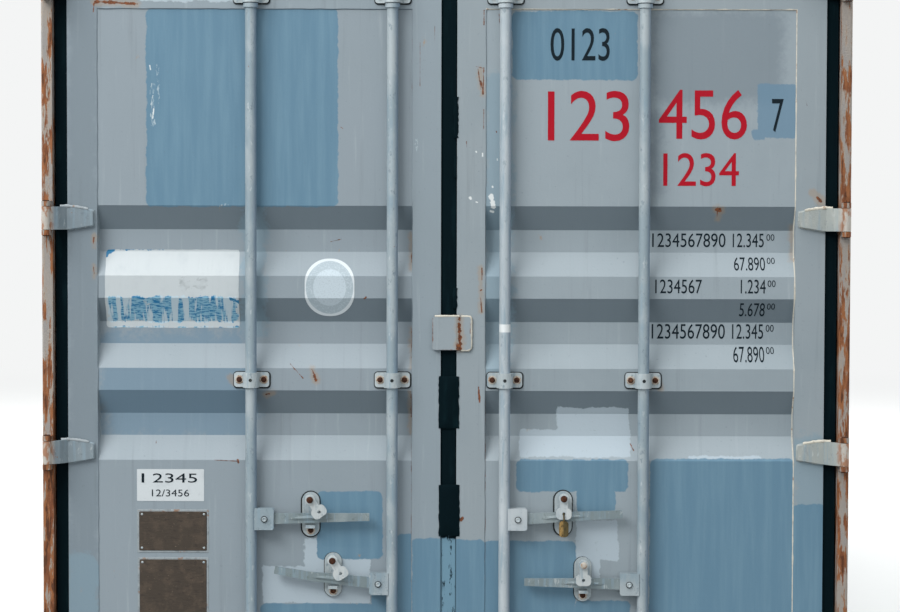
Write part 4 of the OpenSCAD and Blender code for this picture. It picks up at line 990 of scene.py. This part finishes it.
def weld_panel(side, low_x, high_x):
    """The beads that join a pressed panel to its frame; at the sides they follow the troughs.

    On the right leaf the hinge side and the top are sealed over as well.
    """
    hand = random.Random(31 if side == "left" else 32)
    beads, seams = bmesh.new(), bmesh.new()
    kinks = sorted(middle + off for middle in TROUGHS for off in (-TROUGH_EDGE, -TROUGH_FLAT, TROUGH_FLAT, TROUGH_EDGE))
    heights = [PANEL_LOW] + kinks + [PANEL_HIGH]
    for x in (low_x, high_x):
        course = along([(x, PANEL_FACE + panel_depth(z), z) for z in heights], 24)
        bead(seams if x == RIGHT_PANEL[1] else beads, course, 3.0, hand)
    for z in (PANEL_LOW, PANEL_HIGH):
        bead(seams if z == PANEL_HIGH and side == "right" else beads,
                     along([(low_x, PANEL_FACE, z), (high_x, PANEL_FACE, z)], 24), 3.0, hand)
    finish = LEFT_FRAME_ENAMEL if side == "left" else RIGHT_FRAME_ENAMEL
    finish_piece(f"{side}_panel_welds", beads, finish, f"{side}_door", 60)
    if side == "right":
        finish_piece("right_panel_sealed_seams", seams, CREAM_SEALANT, "right_door", 60)
    else:
        seams.free()


def weld_blades(side):
    """Weld beads round each hinge blade, and the sealant that someone ran along its top."""
    way = -1 if side == "left" else 1
    hand = random.Random(41 if side == "left" else 42)
    beads, runs = bmesh.new(), bmesh.new()
    for z in HINGE_HEIGHTS:
        outer, inner = 1138 * way, 1064 * way
        course = [(outer, LEAF_FACE, z + 34), (inner, LEAF_FACE, z + 21),
                      (inner, LEAF_FACE, z - 21), (outer, LEAF_FACE, z - 34)]
        bead(beads, along(course, 7), 5.0, hand)
        run = [(1162, 14, 35), (1142, 10, 36), (1112, 5, 33), (1080, 3, 27)]
        run = [(x * way, LEAF_FACE - out, z + up) for x, out, up in run]
        bead(runs, along(run, 5), 5.2, hand)
    finish_piece(f"{side}_hinge_welds", beads, SHADED_BLADE_ZINC if side == "left" else PALE_BLADE_ZINC,
                 f"{side}_door", 60)
    finish_piece(f"{side}_hinge_sealant", runs, SEALANT if side == "left" else CREAM_SEALANT,
                 f"{side}_door", 60)


def seal_overlap_plate():
    """Sealant over the top and down the free side of the plate that laps the left leaf."""
    hand = random.Random(51)
    runs = bmesh.new()
    face = LEAF_FACE - 3
    bead(runs, along([(46, face, 1367), (73, face, 1366), (76, face, 1358), (76, face, 1272),
                      (68, face, 1265), (46, face, 1265)], 5), 4.0, hand)
    bead(runs, along([(-34, LEAF_FACE - 9, 1367.5), (40, LEAF_FACE - 9, 1368)], 6), 3.6, hand)
    finish_piece("overlap_plate_sealant", runs, CREAM_SEALANT, "right_door", 60)


# -------- torn rubber between the leaves


def tear_rubber():
    """Lips of the centre gasket that hang out over the right leaf, torn and squeezed flat by years of closing."""
    hand = random.Random(61)
    lips = bmesh.new()
    for box, swing, belly in (
        ((-22, 40, 1028, 1186), 1.6, 3.0),
        ((-21, 42, 700, 857), 1.2, 3.0),
        ((22, 35, 1905, 2030), 2.2, 1.0),
        ((20, 33, 1392, 1452), 2.0, 1.0),
        ((22, 31, 1785, 1850), 1.6, 0.6),
    ):
        x0, x1, z0, z1 = box
        outline = ragged_outline([(x0, z0), (x1, z0), (x1, z1), (x0, z1)], 9, swing, hand)
        slab(lips, outline, LEAF_FACE + 4, LEAF_FACE - 1.6, belly)
    finish_piece("torn_gasket_lips", lips, RUBBER, "right_door", 30)
    cover = bmesh.new()
    plate(cover, 9.5, 1308.5, 41, 2231, 3, -2948, -2950.5, 1.0)
    finish_piece("centre_gasket_lip", cover, RUBBER, "right_door", 30)


# -------- markings

RED_ROW = [("123", (305, 550, 1896, 2047)), ("456", (639, 904, 1902, 2051))]
BLACK_ROWS = [
    ("0123", (312, 490, 2137, 2235)),
    ("7", (979, 1014, 1925, 2024)),
    ("1234567890", (624, 846, 1577, 1619)),
    ("12.345", (868, 962, 1577, 1619)),
    ("00", (970, 994, 1597, 1617)),
    ("67.890", (870, 964, 1507, 1547)),
    ("00", (970, 994, 1527, 1546)),
    ("1234567", (631, 772, 1438, 1480)),
    ("1.234", (889, 964, 1438, 1480)),
    ("00", (970, 994, 1458, 1478)),
    ("5.678", (887, 964, 1368, 1409)),
    ("00", (970, 994, 1389, 1408)),
    ("1234567890", (624, 846, 1299, 1344)),
    ("12.345", (868, 962, 1299, 1344)),
    ("00", (970, 994, 1321, 1342)),
    ("67.890", (870, 964, 1229, 1276)),
    ("00", (970, 994, 1254, 1275)),
]


def mark_doors():
    """Films, plain numbers and data plates at the places where such a container carries them."""
    hand = random.Random(71)
    figures("right_red_numbers", RED_ROW + [("1234", (653, 881, 1761, 1861))], RED_PAINT, "right_door")
    figures("right_black_numbers", BLACK_ROWS, BLACK_PAINT, "right_door")

    label = ragged_outline(rounded(-828, 1447.5, 404, 237, 9, 3), 14, 0.7, hand)
    film("left_torn_label", label, TORN_LABEL, "left_door")
    film("left_oval_film", rounded(-352, 1453, 150, 174, 70, 12), FADED_SEAL, "left_door")
    film("left_small_label", rounded(-833.5, 853.5, 203, 97, 2, 2), SMALL_LABEL, "left_door")
    small = [("1", (-921, -913, 861, 889)), ("2345", (-887, -753, 861, 889)), ("12/3456", (-890, -777, 819, 840))]
    figures("left_small_label_numbers", small, BLACK_PAINT, "left_door", 1.0)

    bedding, plates, rivets = bmesh.new(), bmesh.new(), bmesh.new()
    for x0, x1, z0, z1 in ((-931, -721, 652, 776), (-930, -722, 424, 630)):
        x, z, wide, high = (x0 + x1) / 2, (z0 + z1) / 2, x1 - x0, z1 - z0
        plate(bedding, x, z, wide + 7, high + 7, 5, PANEL_FACE + 1, PANEL_FACE - 1.4)
        plate(plates, x, z, wide - 5, high - 5, 4, PANEL_FACE, PANEL_FACE - 3.2, 1.0)
        for sx in (-1, 1):
            for sz in (-1, 1):
                turned(rivets, (x + sx * (wide / 2 - 11), PANEL_FACE - 3.2, z + sz * (high / 2 - 11)), PLATE_RIVET, 12)
    finish_piece("left_plate_bedding", bedding, SEALANT, "left_door")
    finish_piece("left_data_plates", plates, DATA_PLATE, "left_door")
    finish_piece("left_plate_rivets", rivets, FITTING_ZINC, "left_door")


for leaf in ("left", "right"):
    fasten_leaf(leaf)
    weld_panel(leaf, *(LEFT_PANEL if leaf == "left" else RIGHT_PANEL))
    weld_blades(leaf)
for lock in LOCKS:
    fasten_hub(lock)
screw_floor()
seal_overlap_plate()
tear_rubber()
mark_doors()

# -------- floor, backdrop and lights

ROOM_WHITE = "#f4f5f5"


def studio():
    """Pale floor that fades into a white surround; soft light from high above the doors, as under a bright sky."""
    bpy.ops.mesh.primitive_plane_add(size=120)
    floor = bpy.context.active_object
    floor.name = "studio_floor"
    material, tree, place, _ = new_finish("studio_floor")
    far = add(tree, "VectorMath", {0: place}, out="Value", operation="LENGTH")
    far = add(tree, "MapRange", {"Value": far, "From Min": 7.0, "From Max": 16.0}, interpolation_type="SMOOTHSTEP")
    rays = add(tree, "LightPath").node
    seen = add(tree, "Math", {0: rays.outputs["Is Camera Ray"], 1: rays.outputs["Is Glossy Ray"]}, operation="MAXIMUM")
    stone = add(tree, "Mix", {0: seen, 6: "#5e6264", 7: "#dcdcda"}, out=2, data_type="RGBA")
    paper = add(tree, "BsdfPrincipled", {"Base Color": stone, "Roughness": 0.9})
    glow = add(tree, "Emission", {"Color": ROOM_WHITE, "Strength": 1.0})
    fade = add(tree, "Math", {0: seen, 1: far}, operation="MULTIPLY")
    both = add(tree, "MixShader", {0: fade, 1: paper, 2: glow})
    add(tree, "OutputMaterial", {"Surface": both})
    floor.data.materials.append(material)

    world = bpy.data.worlds.new("studio")
    bpy.context.scene.world = world
    world.use_nodes = True
    tree = world.node_tree
    tree.nodes.clear()
    rays = add(tree, "LightPath").node
    seen = add(tree, "Math", {0: rays.outputs["Is Camera Ray"], 1: rays.outputs["Is Glossy Ray"]}, operation="MAXIMUM")
    seen = add(tree, "Math", {0: seen, 1: rays.outputs["Is Transmission Ray"]}, operation="MAXIMUM")
    white = add(tree, "Background", {"Color": ROOM_WHITE, "Strength": 1.0})
    dim = add(tree, "Background", {"Color": "#eff3f6", "Strength": 0.92})
    both = add(tree, "MixShader", {0: seen, 1: dim, 2: white})
    add(tree, "OutputWorld", {"Surface": both})

    for name, place, aim, size, power in (
        ("door_high_light", (-1.5, -5.4, 12.0), (0, -3.0, 1.3), (8, 3.0), 420),
        ("door_low_light", (-5.4, -8.6, 7.8), (0, -3.0, 1.3), (6, 4.0), 740),
        ("front_light", (0, 9.2, 8.6), (0, 3.0, 1.3), (9, 5.0), 620),
        ("left_light", (-8.0, 0, 7.6), (-1.2, 0, 1.2), (5, 9), 560),
        ("right_light", (8.0, 0, 7.6), (1.2, 0, 1.2), (5, 9), 560),
    ):
        lamp = bpy.data.lights.new(name, "AREA")
        lamp.shape = "RECTANGLE"
        lamp.size, lamp.size_y = size
        lamp.energy = power
        light = bpy.data.objects.new(name, lamp)
        light.location = place
        light.rotation_euler = (Vector(aim) - Vector(place)).to_track_quat("-Z", "Y").to_euler()
        light.visible_camera = False
        bpy.context.scene.collection.objects.link(light)


studio()
bpy.context.scene.view_settings.view_transform = "Standard"
